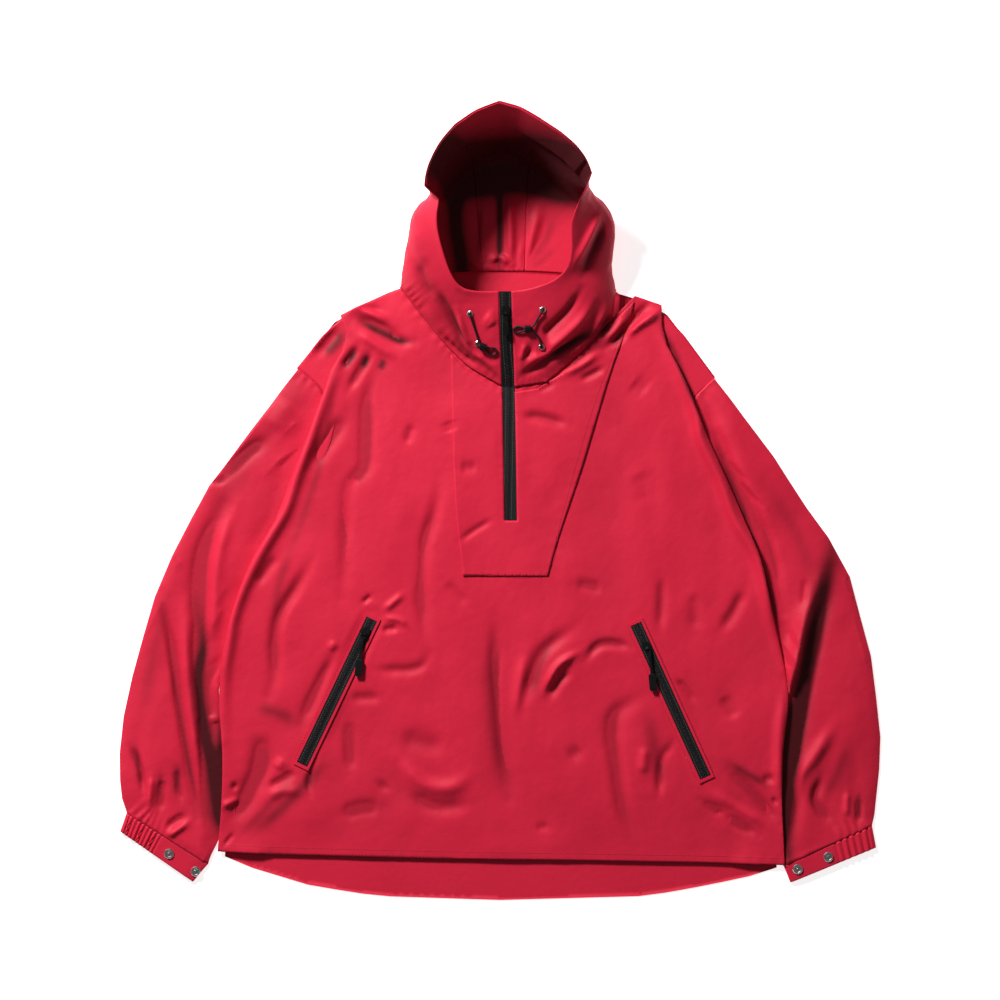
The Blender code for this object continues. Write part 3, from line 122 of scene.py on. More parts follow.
# ---- the stage, in metres ----
SENSOR_WIDTH = 36  # mm
VIEW_CENTRE_Y = 0.0087
FLOOR_REACH, FLOOR_DROP = 6, 0.0005
FLOOR_TONE, FLOOR_GLOW = (0.93, 0.93, 0.93, 1), 0.75
KEY_PLACE, KEY_SIZE = (-1.45, 1.95, 1.75), 0.6
WHITE = (1, 1, 1, 1)

# ---- lines on the garment that its relief follows or keeps clear of ----
FRONT_ZIP = ((13, -17), (11.5, 82), (10, 152))
POCKET_ZIPS = (((-159, -139), (-245, -318)), ((168, -145), (254, -334)))
NECK_SEAMS = (
    ((-120, 274), (-101, 245), (-73, 208), (-41, 182), (-20, 164), (4, 151)),
    ((20, 151), (46, 152), (72, 172), (113, 206), (138, 235)),
)
ARMHOLES = (((-246, 170), (-218, 151)), ((266, 162), (241, 137)))
# where each sleeve meets its cuff
CUFF_SEAMS = (((-461, -374), (-441, -394), (-416, -404)), ((416, -414), (440, -403), (458, -396)))
INNER_SEAM = ((-56, 284), (-25, 290), (6, 294), (37, 295), (70, 294))
PLACKET_EDGE = ((-46, -85), (56, -85), (79, -10), (114, 112), (150, 210))
HEM = ((-350, -427), (-253, -431), (-100, -435), (74, -438), (245, -441), (350, -444))
# where the hem stands off the back: x, half width and height
HEM_LIFTS = ((-307, 26, 3.4), (-180, 30, 1.2), (12, 36, 3.0), (150, 30, 1.0), (300, 30, 1.6))

# the front zip's closed run, below and above the neck seam, and the nodes that are zip tapes
FRONT_ZIP_RUN = ((9, -16), (11, 82), (11.5, 152), (8, 200), (7, 262))
ZIP_TAPES = ("front_zip_tape", "pocket_zip_tape_left", "pocket_zip_tape_right")

# stitches and teeth: from one to the next, then each one's length, width and height
STITCH_PITCH, TOOTH_PITCH = 3.4, 1.3
STITCH, TAPE_STITCH, TOOTH = (2.5, 0.55, 0.35), (2.4, 0.5, 0.3), (0.8, 2.6, 0.7)
TOOTH_SHIFT = 0.7  # of each tooth to its own side, in turn
# from a seam or a zip to the stitches beside it
HEM_ROW, PLACKET_ROW, SEAM_ROW, WELT_ROW, TAPE_ROW = 9, 2.4, 3.0, 11.5, 4.6

# a sleeve's inner edge beside the body, as distance down from the origin and x
TUCKED_EDGE = {
    "left": ((230, -348), (262, -350), (292, -348), (324, -347), (360, -348), (396, -350), (442, -361)),
    "right": ((230, 357), (262, 358), (300, 353), (340, 352), (380, 352), (412, 354), (444, 351)),
}
TUCK, TUCK_REACH, TUCKED_HEIGHT = 6.0, 16, 2.3  # how far in, from how near the edge, and how high it lies
TUCK_START, TUCK_END = (225, 250), (405, 440)  # down from the origin, over which it comes and goes

# puckers: the line that they stand square to, their reach from it, pitch, height and seed
BODY_PUCKERS = (
    *((line, 9, 11, 0.3, 5) for line in POCKET_ZIPS),
    (FRONT_ZIP, 12, 13, 0.28, 7), (HEM, 9, 16, 0.35, 8), (PLACKET_EDGE, 7, 15, 0.22, 9),
    *((seam, 10, 13, 0.5, 6) for seam in NECK_SEAMS),
)
SLEEVE_PUCKERS = (
    *((seam, 14, 13, 0.8, 31) for seam in ARMHOLES), *((seam, 20, 9, 1.3, 33) for seam in CUFF_SEAMS),
)
HOOD_PUCKERS = tuple((seam, 12, 12, 0.7, 26) for seam in NECK_SEAMS)
INNER_PUCKERS = ((INNER_SEAM, 12, 12, 0.8, 27),)
# from a line, where creases fade out: the distance that stays smooth, and where they are whole again
ZIP_CALM, HOOD_ZIP_CALM, SEAM_CALM, CORD_CALM = (9, 20), (9, 18), (0, 12), (5, 14)

# how far a sheet's border reaches into the gap at its seams
SEAM_REACH = {"sleeve_left": 1.0, "sleeve_right": 1.0, "hood_centre": 0.6}
USUAL_REACH = 0.25

# each drawcord's route, as its solid has it
CORD_LEFT = (
    (-37.1, 237.5, 37.4), (-36.3, 233.8, 37.4), (-35.0, 229.5, 35.4),
    (-32.8, 223.0, 32.7), (-30.2, 215.5, 30.2), (-27.8, 208.0, 28.4), (-25.9, 202.6, 27.4),
    (-23.8, 199.3, 26.9), (-20.0, 197.7, 26.75), (-16.1, 196.1, 26.6), (-12.3, 195.6, 25.6),
    (-8.0, 195.6, 25.5), (-4.6, 193.2, 25.0), (-4.4, 189.8, 23.8), (-7.6, 187.2, 22.4),
    (-11.8, 187.9, 22.6), (-15.0, 190.8, 24.2), (-17.2, 193.5, 25.6), (-21.0, 195.1, 25.65),
    (-24.9, 196.7, 25.8), (-27.2, 198.4, 26.1), (-28.3, 200.4, 25.7),
)
CORD_RIGHT = (
    (52.2, 243.0, 39.4), (50.8, 238.8, 40.1), (48.6, 234.8, 38.7),
    (45.2, 229.0, 36.6), (42.2, 223.8, 35.7), (38.6, 220.2, 35.9), (34.0, 219.65, 35.85),
    (29.8, 219.65, 35.7), (25.4, 220.8, 35.1), (20.6, 221.2, 34.7), (16.6, 218.6, 34.0),
    (16.8, 215.4, 33.0), (20.8, 213.9, 32.6), (25.6, 215.0, 33.6), (29.8, 216.7, 34.9),
    (34.0, 216.75, 35.05), (38.2, 216.7, 35.0), (42.6, 214.6, 33.3), (46.4, 209.5, 31.0),
    (49.0, 203.6, 29.8), (50.0, 200.2, 29.3), (50.6, 197.6, 27.7), (51.0, 196.3, 26.3),
)

# ---- creases and shades ----
# A crease: its line, half its width, its height (below zero for a trough) and how far it leans,
# from -1 to 1: a leaning crease is steep on one side of its line and slow on the other.
Crease = namedtuple("Crease", "line width height lean", defaults=(0.0,))


def crease_table(*rows):
    return [Crease(*row) for row in rows]


FRONT_CREASES = crease_table(
    # left shoulder
    (((-192, 256), (-164, 242), (-134, 226)), 6, 3.0),
    (((-180, 235), (-143, 220), (-122, 206), (-106, 205)), 5.5, -4.5),
    (((-178, 248), (-162, 246), (-144, 242)), 4, -2.0),
    (((-180, 218), (-143, 194), (-124, 186)), 6, 2.0),
    (((-175, 199), (-186, 185), (-197, 170)), 4.5, -2.4),
    (((-159, 192), (-170, 174), (-188, 144)), 5, -2.6),
    (((-147, 181), (-162, 139), (-165, 91), (-168, 50), (-186, 24), (-190, -29), (-191, -53),
      (-195, -113)), 8, -3.2),
    (((-190, 115), (-212, 81), (-235, 49)), 9, -2.6),
    # left chest
    (((-108, 103), (-117, 77)), 5, -1.4),
    (((-74, 38), (-82, -7), (-97, -55), (-98, -116), (-90, -178)), 8, -2.4),
    (((-65, 107), (-60, 92)), 8, -1.2),
    (((-50, 48), (-28, 50)), 7, -1.3),
    (((-9, -15), (-32, -29), (-51, -43)), 4, -1.3),
    # left side
    (((-275, -59), (-303, -98)), 6, -1.8),
    (((-233, -67), (-252, -98), (-273, -134), (-279, -164), (-279, -209), (-287, -233)), 7, -3.2),
    (((-204, -179), (-226, -223), (-248, -269)), 6, -2.4),
    (((-204, -166), (-211, -178)), 5, 1.8),
    (((-171, -119), (-159, -109)), 3, -2.0),
    (((-144, -128), (-119, -107)), 4, 2.0),
    (((-147, -152), (-126, -150)), 4, -2.2),
    (((-144, -137), (-124, -140), (-113, -149)), 3.5, 1.6),
    (((-155, -202), (-105, -200), (-87, -183)), 6, -1.8),
    (((-186, -236), (-147, -236)), 6, -1.6),
    (((-186, -263), (-186, -329)), 7, -2.0),
    (((-300, -275), (-296, -314), (-311, -353), (-339, -395)), 12, -4.4),
    (((-252, -326), (-270, -338), (-288, -347)), 5, -2.6),
    (((-268, -311), (-277, -325)), 6, 2.6),
    (((-225, -299), (-237, -335), (-235, -357)), 3.5, -2.2),
    (((-288, -360), (-267, -351), (-246, -353)), 6, 1.8),
    (((-126, -308), (-102, -338), (-81, -347), (-56, -345), (-35, -329)), 9, 2.6),
    (((-117, -353), (-81, -371), (-35, -368)), 9, -2.2),
    (((-126, -284), (-66, -299)), 12, -1.8),
    (((-197, -381), (-171, -373), (-149, -374)), 8, -2.2),
    (((-140, -341), (-149, -351)), 8, -1.4),
    (((-69, -92), (-39, -122)), 6, -1.0),
    (((-332, -351), (-326, -341)), 4, -2.2),
    (((-345, -371), (-321, -360)), 4, 2.4),
    (((-342, -419), (-330, -404)), 2.5, -1.6),
    # middle
    (((-6, -137), (-4, -209), (3, -289), (12, -360)), 8, -2.8),
    (((32, -179), (22, -227), (14, -263)), 7, 2.0),
    # right side
    (((98, -179), (71, -197), (53, -230)), 4.5, 3.4),
    (((92, -149), (53, -179), (38, -215), (27, -251)), 8, -2.8),
    (((162, -173), (136, -169), (119, -173), (105, -191)), 5, -2.8),
    (((88, -200), (71, -218), (59, -239)), 6, -2.6),
    (((200, -84), (200, -116), (197, -155)), 6, -1.8),
    (((303, -101), (290, -128), (272, -155)), 7, -2.2),
    (((239, -103), (242, -155)), 8, -1.3),
    (((92, -95), (128, -101)), 7, -1.5),
    (((215, -215), (227, -222), (242, -242)), 3.5, -1.8),
    (((275, -233), (293, -263)), 8, -1.6),
    (((179, -233), (145, -254), (139, -283), (143, -314), (152, -374), (170, -419)), 9, -3.0),
    (((215, -290), (200, -317), (197, -360)), 5, -3.0),
    (((179, -295), (176, -332)), 6, 2.0),
    (((248, -362), (278, -383), (320, -407)), 5, -3.2),
    (((259, -351), (290, -371), (331, -395)), 6, 1.8),
    (((282, -326), (311, -353), (345, -392)), 6, -3.0),
    (((324, -338), (341, -335)), 5, -1.8),
    (((337, -360), (343, -368)), 3, -2.0),
    (((44, -398), (61, -395)), 5, -1.0),
    (((101, -299), (84, -311)), 8, -1.4),
    (((25, 112), (51, 111), (85, 101)), 6, -2.4),
    (((165, 157), (183, 143)), 12, -1.3),
    (((173, 45), (188, 2)), 14, -1.4),
    # right shoulder
    (((186, 254), (169, 235), (152, 214), (129, 196)), 5, -3.6),
    (((200, 244), (174, 227), (152, 210)), 5, 3.6),
    (((155, 236), (142, 218), (129, 204)), 4, 2.0),
    (((129, 173), (113, 164), (98, 157)), 4, -2.2),
    (((67, 154), (56, 149), (45, 145)), 4, -1.8),
    (((123, 191), (98, 174), (74, 163)), 5, 2.6),
    # side folds
    (((-186, 200), (-197, 179), (-217, 134), (-235, 81), (-252, 35), (-265, -4), (-289, -45), (-306, -76),
      (-322, -113), (-330, -139), (-335, -171), (-341, -215), (-342, -289)), 7, 4.0),
    (((185, 231), (200, 210), (225, 158), (242, 115), (249, 82), (272, 33), (291, -18), (319, -67),
      (335, -143), (350, -200)), 7, 5.0),
    (((351, -227), (345, -289), (343, -363)), 6, 2.6),
)
SLEEVE_CREASES = crease_table(
    # left sleeve
    (((-287, 87), (-316, 64), (-348, 34)), 8, -3.0),
    (((-361, 34), (-350, 32), (-339, 35)), 3.5, -3.0),
    (((-343, 4), (-361, -36), (-371, -77), (-372, -139), (-374, -200), (-372, -249)), 9, -4.2),
    (((-325, 8), (-342, -36), (-351, -79), (-355, -140), (-357, -184)), 8, 2.4),
    (((-348, -189), (-364, -217), (-368, -249)), 5, -3.0),
    (((-357, -257), (-355, -268)), 6, 4.5),
    (((-372, -270), (-364, -301), (-360, -324), (-355, -363), (-352, -398)), 5, -4.0),
    (((-421, -106), (-405, -180), (-397, -242), (-384, -324), (-374, -385)), 5.5, -3.4),
    (((-390, -116), (-387, -190), (-381, -264), (-368, -351)), 7, 2.6),
    (((-459, -295), (-445, -324), (-442, -357)), 4, -2.4),
    (((-418, -336), (-421, -377)), 4.5, -3.2),
    (((-431, -332), (-434, -373)), 4, 2.2),
    (((-402, -324), (-395, -364)), 3.5, -2.2),
    (((-389, -381), (-402, -388), (-414, -398)), 4, -2.4),
    (((-384, -389), (-407, -405), (-421, -416)), 4, 2.6),
    (((-258, 132), (-285, 95)), 14, 1.6),
    (((-363, -215), (-366, -262), (-365, -310), (-362, -360), (-358, -410)), 7, -5.0),
    (((-349, -225), (-349, -262), (-347, -310)), 5, 4.0),
    # right sleeve
    (((394, -93), (378, -134), (366, -189), (357, -225), (350, -274), (346, -345)), 7, 7.0, -0.45),
    (((362, -262), (360, -310), (362, -360), (358, -410)), 9, -5.0),
    (((412, -77), (403, -118), (387, -180), (374, -242), (362, -303), (353, -357), (357, -405)), 9, -4.6),
    (((378, -86), (374, -127)), 4, -1.3),
    (((415, -267), (389, -308), (369, -336), (362, -377)), 8, 3.2),
    (((399, -332), (390, -364), (412, -393)), 6, -3.2),
    (((444, -361), (444, -393)), 4, -2.6),
    (((430, -351), (428, -385)), 4, 1.8),
    (((265, 132), (303, 45), (340, -48)), 18, 2.6),
    (((249, 142), (288, 45), (329, -36), (353, -131)), 6, -3.4),
)
UNDER_CREASES = crease_table(
    # the shoulder that shows beside a side fold
    (((-199, 225), (-209, 209), (-230, 185)), 6, -1.6),
    (((-204, 233), (-221, 214), (-238, 191)), 6, 2.2),
)

HOOD_CREASES = crease_table(
    # collar, left side
    (((-79, 267), (-66, 244), (-55, 222), (-37, 195)), 5, -3.0),
    (((-53, 243), (-45, 217), (-35, 197), (-9, 175)), 4, 3.5),
    (((-93, 254), (-74, 223), (-50, 192)), 8, 2.0),
    (((-73, 217), (-52, 190), (-25, 173)), 4, -2.5),
    (((-20, 234), (-13, 229), (-8, 222)), 9, 1.8),
    (((-101, 300), (-92, 273), (-79, 254)), 6, -2.0),
    (((-106, 346), (-99, 315), (-89, 293)), 8, 1.8),
    # collar, right side
    (((115, 256), (98, 230), (62, 197), (25, 171)), 6, 4.0),
    (((101, 267), (84, 241), (62, 219), (36, 192)), 5, -3.2),
    (((111, 219), (92, 202), (73, 191), (25, 160)), 5, -3.4),
    (((135, 254), (122, 229), (104, 205), (73, 183)), 5, 2.6),
    (((31, 202), (25, 180)), 3, 1.8),
    (((40, 195), (31, 183)), 4, -1.8),
    (((122, 358), (107, 327), (88, 293)), 4, 2.6),
    (((130, 350), (117, 320), (100, 283)), 5, -2.4),
    # crown
    (((-74, 438), (-47, 465), (-13, 485)), 5, -1.8),
    (((-87, 389), (-74, 382), (-57, 379)), 4, -1.6),
    (((24, 487), (58, 465), (80, 440)), 4, -1.6),
)

INNER_CREASES = crease_table(
    # the hood's back, as seen through its opening
    (((-1, 394), (1, 348), (-2, 303)), 4, -5.0),
    (((11, 392), (13, 342), (13, 300)), 5, 3.0),
    (((-24, 379), (-25, 342), (-27, 305)), 3.5, -2.5),
    (((49, 373), (39, 336), (24, 303)), 6, 2.5),
    (((69, 361), (56, 330), (37, 303)), 5, -2.5),
    (((-15, 303), (-1, 310), (13, 300)), 4, 3.0),
    (((37, 295), (55, 308), (69, 322)), 4, -2.0),
    (((-38, 303), (-18, 295), (-1, 293)), 4, 2.4),
)

# Painted shade, where folds and the hood shade the cloth: its line, half its width, and how dark it is in
# place of a height.
# The darkness is cut off at 1, so that a wide shade with more is even in its middle.
FRONT_SHADES = crease_table(
    # beside the neck
    (((138, 241), (123, 223), (108, 208)), 5, 0.5),
    (((144, 272), (135, 239), (123, 200)), 7, 0.85),
    (((164, 255), (154, 225), (138, 194)), 4, 0.5),
    # left shoulder
    (((-177, 233), (-153, 218), (-124, 206), (-103, 204)), 4.5, 0.8),
    (((-177, 194), (-195, 171)), 4, 0.8),
    (((-164, 190), (-170, 171)), 4.5, 0.8),
    (((-143, 184), (-149, 169)), 5, 0.85),
    (((-197, 223), (-201, 206), (-221, 186)), 7, 0.8),
    (((-201, 199), (-217, 79), (-239, 2), (-267, -75)), 5, 0.3),
    # right side fold
    (((195, 231), (216, 190), (232, 148), (247, 111)), 4, 0.7),
    # belly and pockets
    (((-305, -249), (-278, -254), (-250, -267)), 8, 0.5),
    (((-211, -309), (-260, -363), (-310, -408)), 8, 0.6),
    (((-15, -161), (-9, -270), (7, -358)), 10, 0.35),
    (((181, -249), (191, -301), (203, -347)), 9, 0.42),
    (((280, -315), (309, -332), (335, -347)), 5, 0.6),
    (((-260, -53), (-275, -103), (-283, -140)), 6, 0.35),
    (((64, -165), (49, -200), (39, -239)), 5, 0.4),
    (((-248, -326), (-295, -378), (-327, -408)), 5, 0.35),
)
SLEEVE_SHADES = crease_table(
    # left sleeve
    (((-226, 163), (-221, 144)), 4, 0.7),
    (((-223, 194), (-267, 119), (-310, 64), (-372, -29)), 17, 0.22),
    (((-197, 223), (-201, 206), (-221, 186)), 7, 0.8),
    (((-378, -116), (-367, -166), (-375, -217), (-367, -278), (-357, -325), (-354, -385), (-361, -425)),
      8, 0.92),
    (((-353, -227), (-351, -289), (-351, -363), (-353, -425)), 5, 0.9),
    (((-415, -159), (-398, -257), (-384, -331), (-370, -385)), 3, 0.35),
    (((-403, -75), (-430, -184), (-441, -270)), 8, 0.25),
    (((-452, -292), (-446, -347)), 4, 0.5),
    (((-398, -315), (-403, -358)), 4, 0.5),
    (((-421, -326), (-424, -363)), 3, 0.35),
    # right sleeve
    (((247, 111), (271, 64), (296, 8), (316, -48), (336, -116), (353, -190)), 4, 0.9),
    (((427, 8), (400, -103), (384, -177), (372, -239), (363, -301), (356, -363)), 12, 0.97),
    (((378, -227), (363, -301), (357, -363), (356, -425), (358, -487)), 8, 0.97),
    (((274, 171), (253, 152), (232, 132)), 1.8, 0.7),
    (((327, 33), (370, -41), (389, -103)), 9, 0.25),
    (((432, -289), (417, -332), (398, -363)), 7, 0.4),
    (((445, -351), (442, -388)), 4, 0.4),
)
HOOD_SHADES = crease_table(
    # outside, the collar and the right side
    (((122, 222), (103, 210), (80, 195), (58, 180)), 4.5, 0.9),
    (((137, 239), (122, 222)), 6, 0.7),
    (((-61, 226), (-45, 196), (-15, 173), (8, 152)), 3, 0.5),
    (((-67, 254), (-50, 217), (-28, 190)), 3, 0.4),
    (((100, 389), (95, 377), (90, 362)), 7, 0.8),
    (((-117, 377), (-99, 309), (-74, 241), (-25, 168)), 14, 0.22),
    (((127, 346), (115, 313), (95, 271)), 5, 0.45),
    (((36, 192), (25, 171)), 3, 0.4),
    (((117, 300), (127, 327), (130, 358)), 6, 0.3),
)
INSIDE_SHADES = crease_table(
    # under the crown, and down the left
    (((-124, 385), (-75, 412), (-1, 432), (74, 420), (148, 375)), 24, 1.6),
    (((-60, 465), (-56, 391), (-55, 348), (-48, 302), (-38, 218)), 11, 1.3),
    (((-1, 441), (-1, 397), (-1, 348), (-1, 302), (-1, 268)), 4, 0.8),
    (((-85, 386), (-1, 396), (30, 398), (64, 390), (123, 372)), 14, 1.1),
    (((-24, 379), (-25, 342), (-27, 307)), 2.5, 0.5),
    # the brow's band
    (((-93, 406), (-75, 451), (-38, 485), (-1, 498), (36, 488)), 11, 0.4),
)


# ---- settings that a user would change ----
def colour_setting(name, description, default):
    return bpy.props.FloatVectorProperty(
        name=name, description=description, default=default, size=3, min=0, max=1, subtype="COLOR",
    )


class AnorakCloth(bpy.types.PropertyGroup):
    shell_colour: colour_setting("Shell colour", "Colour of the nylon shell", (0.66, 0.014, 0.047))
    shell_shade: colour_setting(
        "Shell shade", "Darker tone that the dye takes in patches", (0.53, 0.009, 0.035),
    )
    # colour of the painted shade, which darkens the cloth in its folds
    painted_shade_colour: colour_setting(
        "Fold colour", "Tone of the cloth where folds shade it most", (0.055, 0.0004, 0.003),
    )
    mesh_size: bpy.props.FloatProperty(
        name="Mesh size", description="Longest edge of the cloth's mesh on the garment's front",
        default=0.0039, min=0.001, unit="LENGTH",
    )
    weave_pitch: bpy.props.FloatProperty(
        name="Weave pitch", description="Distance from one thread of the cloth to the next",
        default=0.0005, min=0.0001, unit="LENGTH", precision=5,
    )


class AnorakTrim(bpy.types.PropertyGroup):
    black: colour_setting("Trim colour", "Colour of the zips, pulls and cord locks", (0.0028, 0.0026, 0.003))
    cord: colour_setting("Cord colour", "Colour of the drawcords", (0.006, 0.005, 0.006))
    tape_thread: colour_setting(
        "Tape thread colour", "Colour of the stitches that hold the zips' tapes", (0.09, 0.08, 0.08),
    )
    thread: colour_setting("Thread colour", "Colour of the seams' stitches", (0.3, 0.006, 0.02))
    steel: colour_setting("Metal colour", "Colour of the snaps and eyelets", (0.5, 0.48, 0.47))


class AnorakStage(bpy.types.PropertyGroup):
    key_power: bpy.props.FloatProperty(
        name="Key light", description="Power of the large light at the upper left",
        default=150.0, min=0, unit="POWER",
    )
    fill_strength: bpy.props.FloatProperty(
        name="Fill", description="Strength of the even light from all round", default=0.15, min=0,
    )
    camera_height: bpy.props.FloatProperty(
        name="Camera height", description="From the floor to the camera",
        default=3.2, min=0.5, unit="LENGTH",
    )
    view_width: bpy.props.FloatProperty(
        name="View width", description="Width of the floor that the camera sees",
        default=1.24, min=0.1, unit="LENGTH",
    )


def settings(group):
    return getattr(bpy.context.scene, group)


def cloth_mesh_size():
    return settings("anorak_cloth").mesh_size * 1


def new_object(name, data):
    made = bpy.data.objects.new(name, data)
    bpy.context.scene.collection.objects.link(made)
    return made


# ---- numbers over a surface ----
def smoothstep(low, high, value):
    t = np.clip((value - low) / (high - low), 0, 1)
    return t * t * (3 - 2 * t)


def value_noise(x, y, seed):
    """Smooth noise from -1 to 1 over a plane, the same each run."""
    table = np.random.RandomState(seed).rand(64, 64) * 2 - 1
    column, row = np.floor(x).astype(int), np.floor(y).astype(int)
    across, up = x - column, y - row
    across, up = (t * t * t * (t * (t * 6 - 15) + 10) for t in (across, up))
    a, b = table[column % 64, row % 64], table[(column + 1) % 64, row % 64]
    c, d = table[column % 64, (row + 1) % 64], table[(column + 1) % 64, (row + 1) % 64]
    return (a + (b - a) * across) * (1 - up) + (c + (d - c) * across) * up


def smooth_line(points, steps=6):
    """Points along a smooth curve through a line's own points."""
    p = np.array(points, float)
    if len(p) < 3:
        return np.array([p[0] + (p[-1] - p[0]) * t for t in np.linspace(0, 1, steps)])
    padded = np.vstack([2 * p[0] - p[1], p, 2 * p[-1] - p[-2]])
    out = []
    for k in range(len(p) - 1):
        a, b, c, d = padded[k : k + 4]
        for t in np.linspace(0, 1, steps, endpoint=False):
            out.append(0.5 * (2 * b + (c - a) * t + (2 * a - 5 * b + 4 * c - d) * t**2
                              + (3 * b - a - 3 * c + d) * t**3))
    out.append(p[-1])
    return np.array(out)


def line_distance(xy, line):
    """For each point: its signed distance to a line, and how far along the line it lies, 0 to 1."""
    best = np.full(len(xy), 1e9)
    side = np.zeros(len(xy))
    along = np.zeros(len(xy))
    lengths = np.linalg.norm(np.diff(line, axis=0), axis=1)
    done, total = 0.0, lengths.sum()
    for a, b, length in zip(line, line[1:], lengths):
        d = (b - a) / length
        rel = xy - a
        t = np.clip(rel @ d, 0, length)
        off = rel - t[:, None] * d
        distance = np.hypot(off[:, 0], off[:, 1])
        nearer = distance < best
        best[nearer] = distance[nearer]
        side[nearer] = np.sign(d[0] * rel[nearer, 1] - d[1] * rel[nearer, 0])
        along[nearer] = (done + t[nearer]) / total
        done += length
    return best * side, along


def crease_relief(xy, creases, depth=CREASE_DEPTH):
    """Height that a list of creases gives at each plan point, in mm."""
    height = np.zeros(len(xy))
    for crease in creases:
        line = smooth_line(crease.line)
        reach = crease.width * (1 + abs(crease.lean)) * 3
        low, high = line.min(0) - reach, line.max(0) + reach
        near = np.flatnonzero(((xy > low) & (xy < high)).all(1))
        if not len(near):
            continue
        distance, along = line_distance(xy[near], line)
        width = crease.width * (1 + crease.lean * np.sign(distance))
        taper = smoothstep(0, CREASE_END, along) * smoothstep(0, CREASE_END, 1 - along)
        taper = CREASE_END_LEFT + (1 - CREASE_END_LEFT) * taper
        height[near] += depth * crease.height * np.exp(-((distance / width) ** 2)) * taper
    return height


def painted_fold_shade(xy, shades, relief):
    """How dark the painted shade makes the cloth at each plan point: the listed shades, and a little in
    every trough.
    """
    return np.clip(crease_relief(xy, shades, 1.0) + np.clip(-relief / TROUGH_SHADE, 0, TROUGH_MOST), 0, 1)


def undulation(xy, seed):
    """Slow waves and a fine crumple, as in cloth that was worn and then smoothed by hand."""
    x, y = xy.T
    return sum(
        value_noise(x / across + right, y / along + up, seed + number) * height
        for number, (across, along, right, up, height) in enumerate(WAVES)
    )


def pucker(xy, seam, reach, pitch, height, seed):
    """Short ridges square to a seam, uneven in size, that fade with distance from it."""
    line = smooth_line(seam)
    near = np.flatnonzero(((xy > line.min(0) - reach * 3) & (xy < line.max(0) + reach * 3)).all(1))
    distance, along = line_distance(xy[near], line)
    run = along * np.linalg.norm(np.diff(line, axis=0), axis=1).sum()
    turns = run / pitch + 0.8 * value_noise(run / pitch / 3, np.zeros(len(run)), seed)
    size = 0.6 + 0.4 * value_noise(run / pitch / 2.3, np.full(len(run), 3.7), seed + 1)
    relief = np.zeros(len(xy))
    relief[near] = height * size * np.sin(2 * math.pi * turns) * np.exp(-((distance / reach) ** 2))
    return relief


def puckers(xy, rows):
    return sum(pucker(xy, *row) for row in rows)


def calm_near(xy, lines, still, free):
    """0 within a distance of some lines, and 1 beyond a larger one."""
    calm = np.ones(len(xy))
    for line in lines:
        distance = np.abs(line_distance(xy, smooth_line(line))[0])
        calm *= smoothstep(still, free, distance)
    return calm


# ---- fine cloth from a solid ----
def one_side(node, wall, towards, sharpest=RIM_ANGLE):
    """The solid's faces on one side of the cloth, as an edit mesh: its rim and other side are cut off.

    towards names the side: "up", "down", "front" or "out", the larger one.
    """
    edit = bmesh.new()
    edit.from_mesh(NODES[node].data)
    bmesh.ops.remove_doubles(edit, verts=edit.verts, dist=WELD)
    edit.normal_update()
    tree = BVHTree.FromBMesh(edit)

    def is_narrow(face):
        return 2 * face.calc_area() / max(e.calc_length() for e in face.edges) < NARROW_WALLS * wall * MM

    def is_rim(face):
        hit = tree.ray_cast(face.calc_center_median() - face.normal * 1e-5, -face.normal)
        return hit[0] is None or hit[3] > RIM_WALLS * wall * MM

    narrow = {face for face in edit.faces if is_narrow(face)}
    left, sides = set(edit.faces) - {face for face in narrow if is_rim(face)}, []
    while left:
        side, reached = [], [left.pop()]
        while reached:
            face = reached.pop()
            side.append(face)
            for edge in face.edges:
                sharp = edge.calc_face_angle(0) > sharpest
                for beside in edge.link_faces:
                    if beside in left and not (sharp and narrow & {face, beside}):
                        left.remove(beside)
                        reached.append(beside)
        sides.append(side)
    weigh = {
        "up": lambda f: f.normal.z,
        "down": lambda f: -f.normal.z,
        "front": lambda f: -f.normal.y,
        "out": lambda f: 1,
    }[towards]
    chosen = set(max(sides, key=lambda side: sum(f.calc_area() * weigh(f) for f in side)))
    bmesh.ops.delete(edit, geom=[f for f in edit.faces if f not in chosen], context="FACES")
    return edit


def edge_table(faces):
    """Each edge as its two points, and for each face the edges from its points to the next ones."""
    ends = np.sort(np.stack([faces, np.roll(faces, -1, axis=1)], axis=2).reshape(-1, 2), axis=1)
    size = int(faces.max()) + 1
    keys, of_face = np.unique(ends[:, 0] * size + ends[:, 1], return_inverse=True)
    return np.stack([keys // size, keys % size], axis=1), of_face.reshape(-1, 3)


def edge_pairs(faces):
    """For each inner edge: its two faces, its ends, and the far corner of each face."""
    flat = edge_table(faces)[1].ravel()
    order = np.argsort(flat, kind="stable")
    first = np.flatnonzero(flat[order][:-1] == flat[order][1:])
    one, two = order[first], order[first + 1]
    start, end = faces[one // 3, one % 3], faces[one // 3, (one % 3 + 1) % 3]
    far = [faces[half // 3, (half % 3 + 2) % 3] for half in (one, two)]
    return one // 3, two // 3, start, end, *far


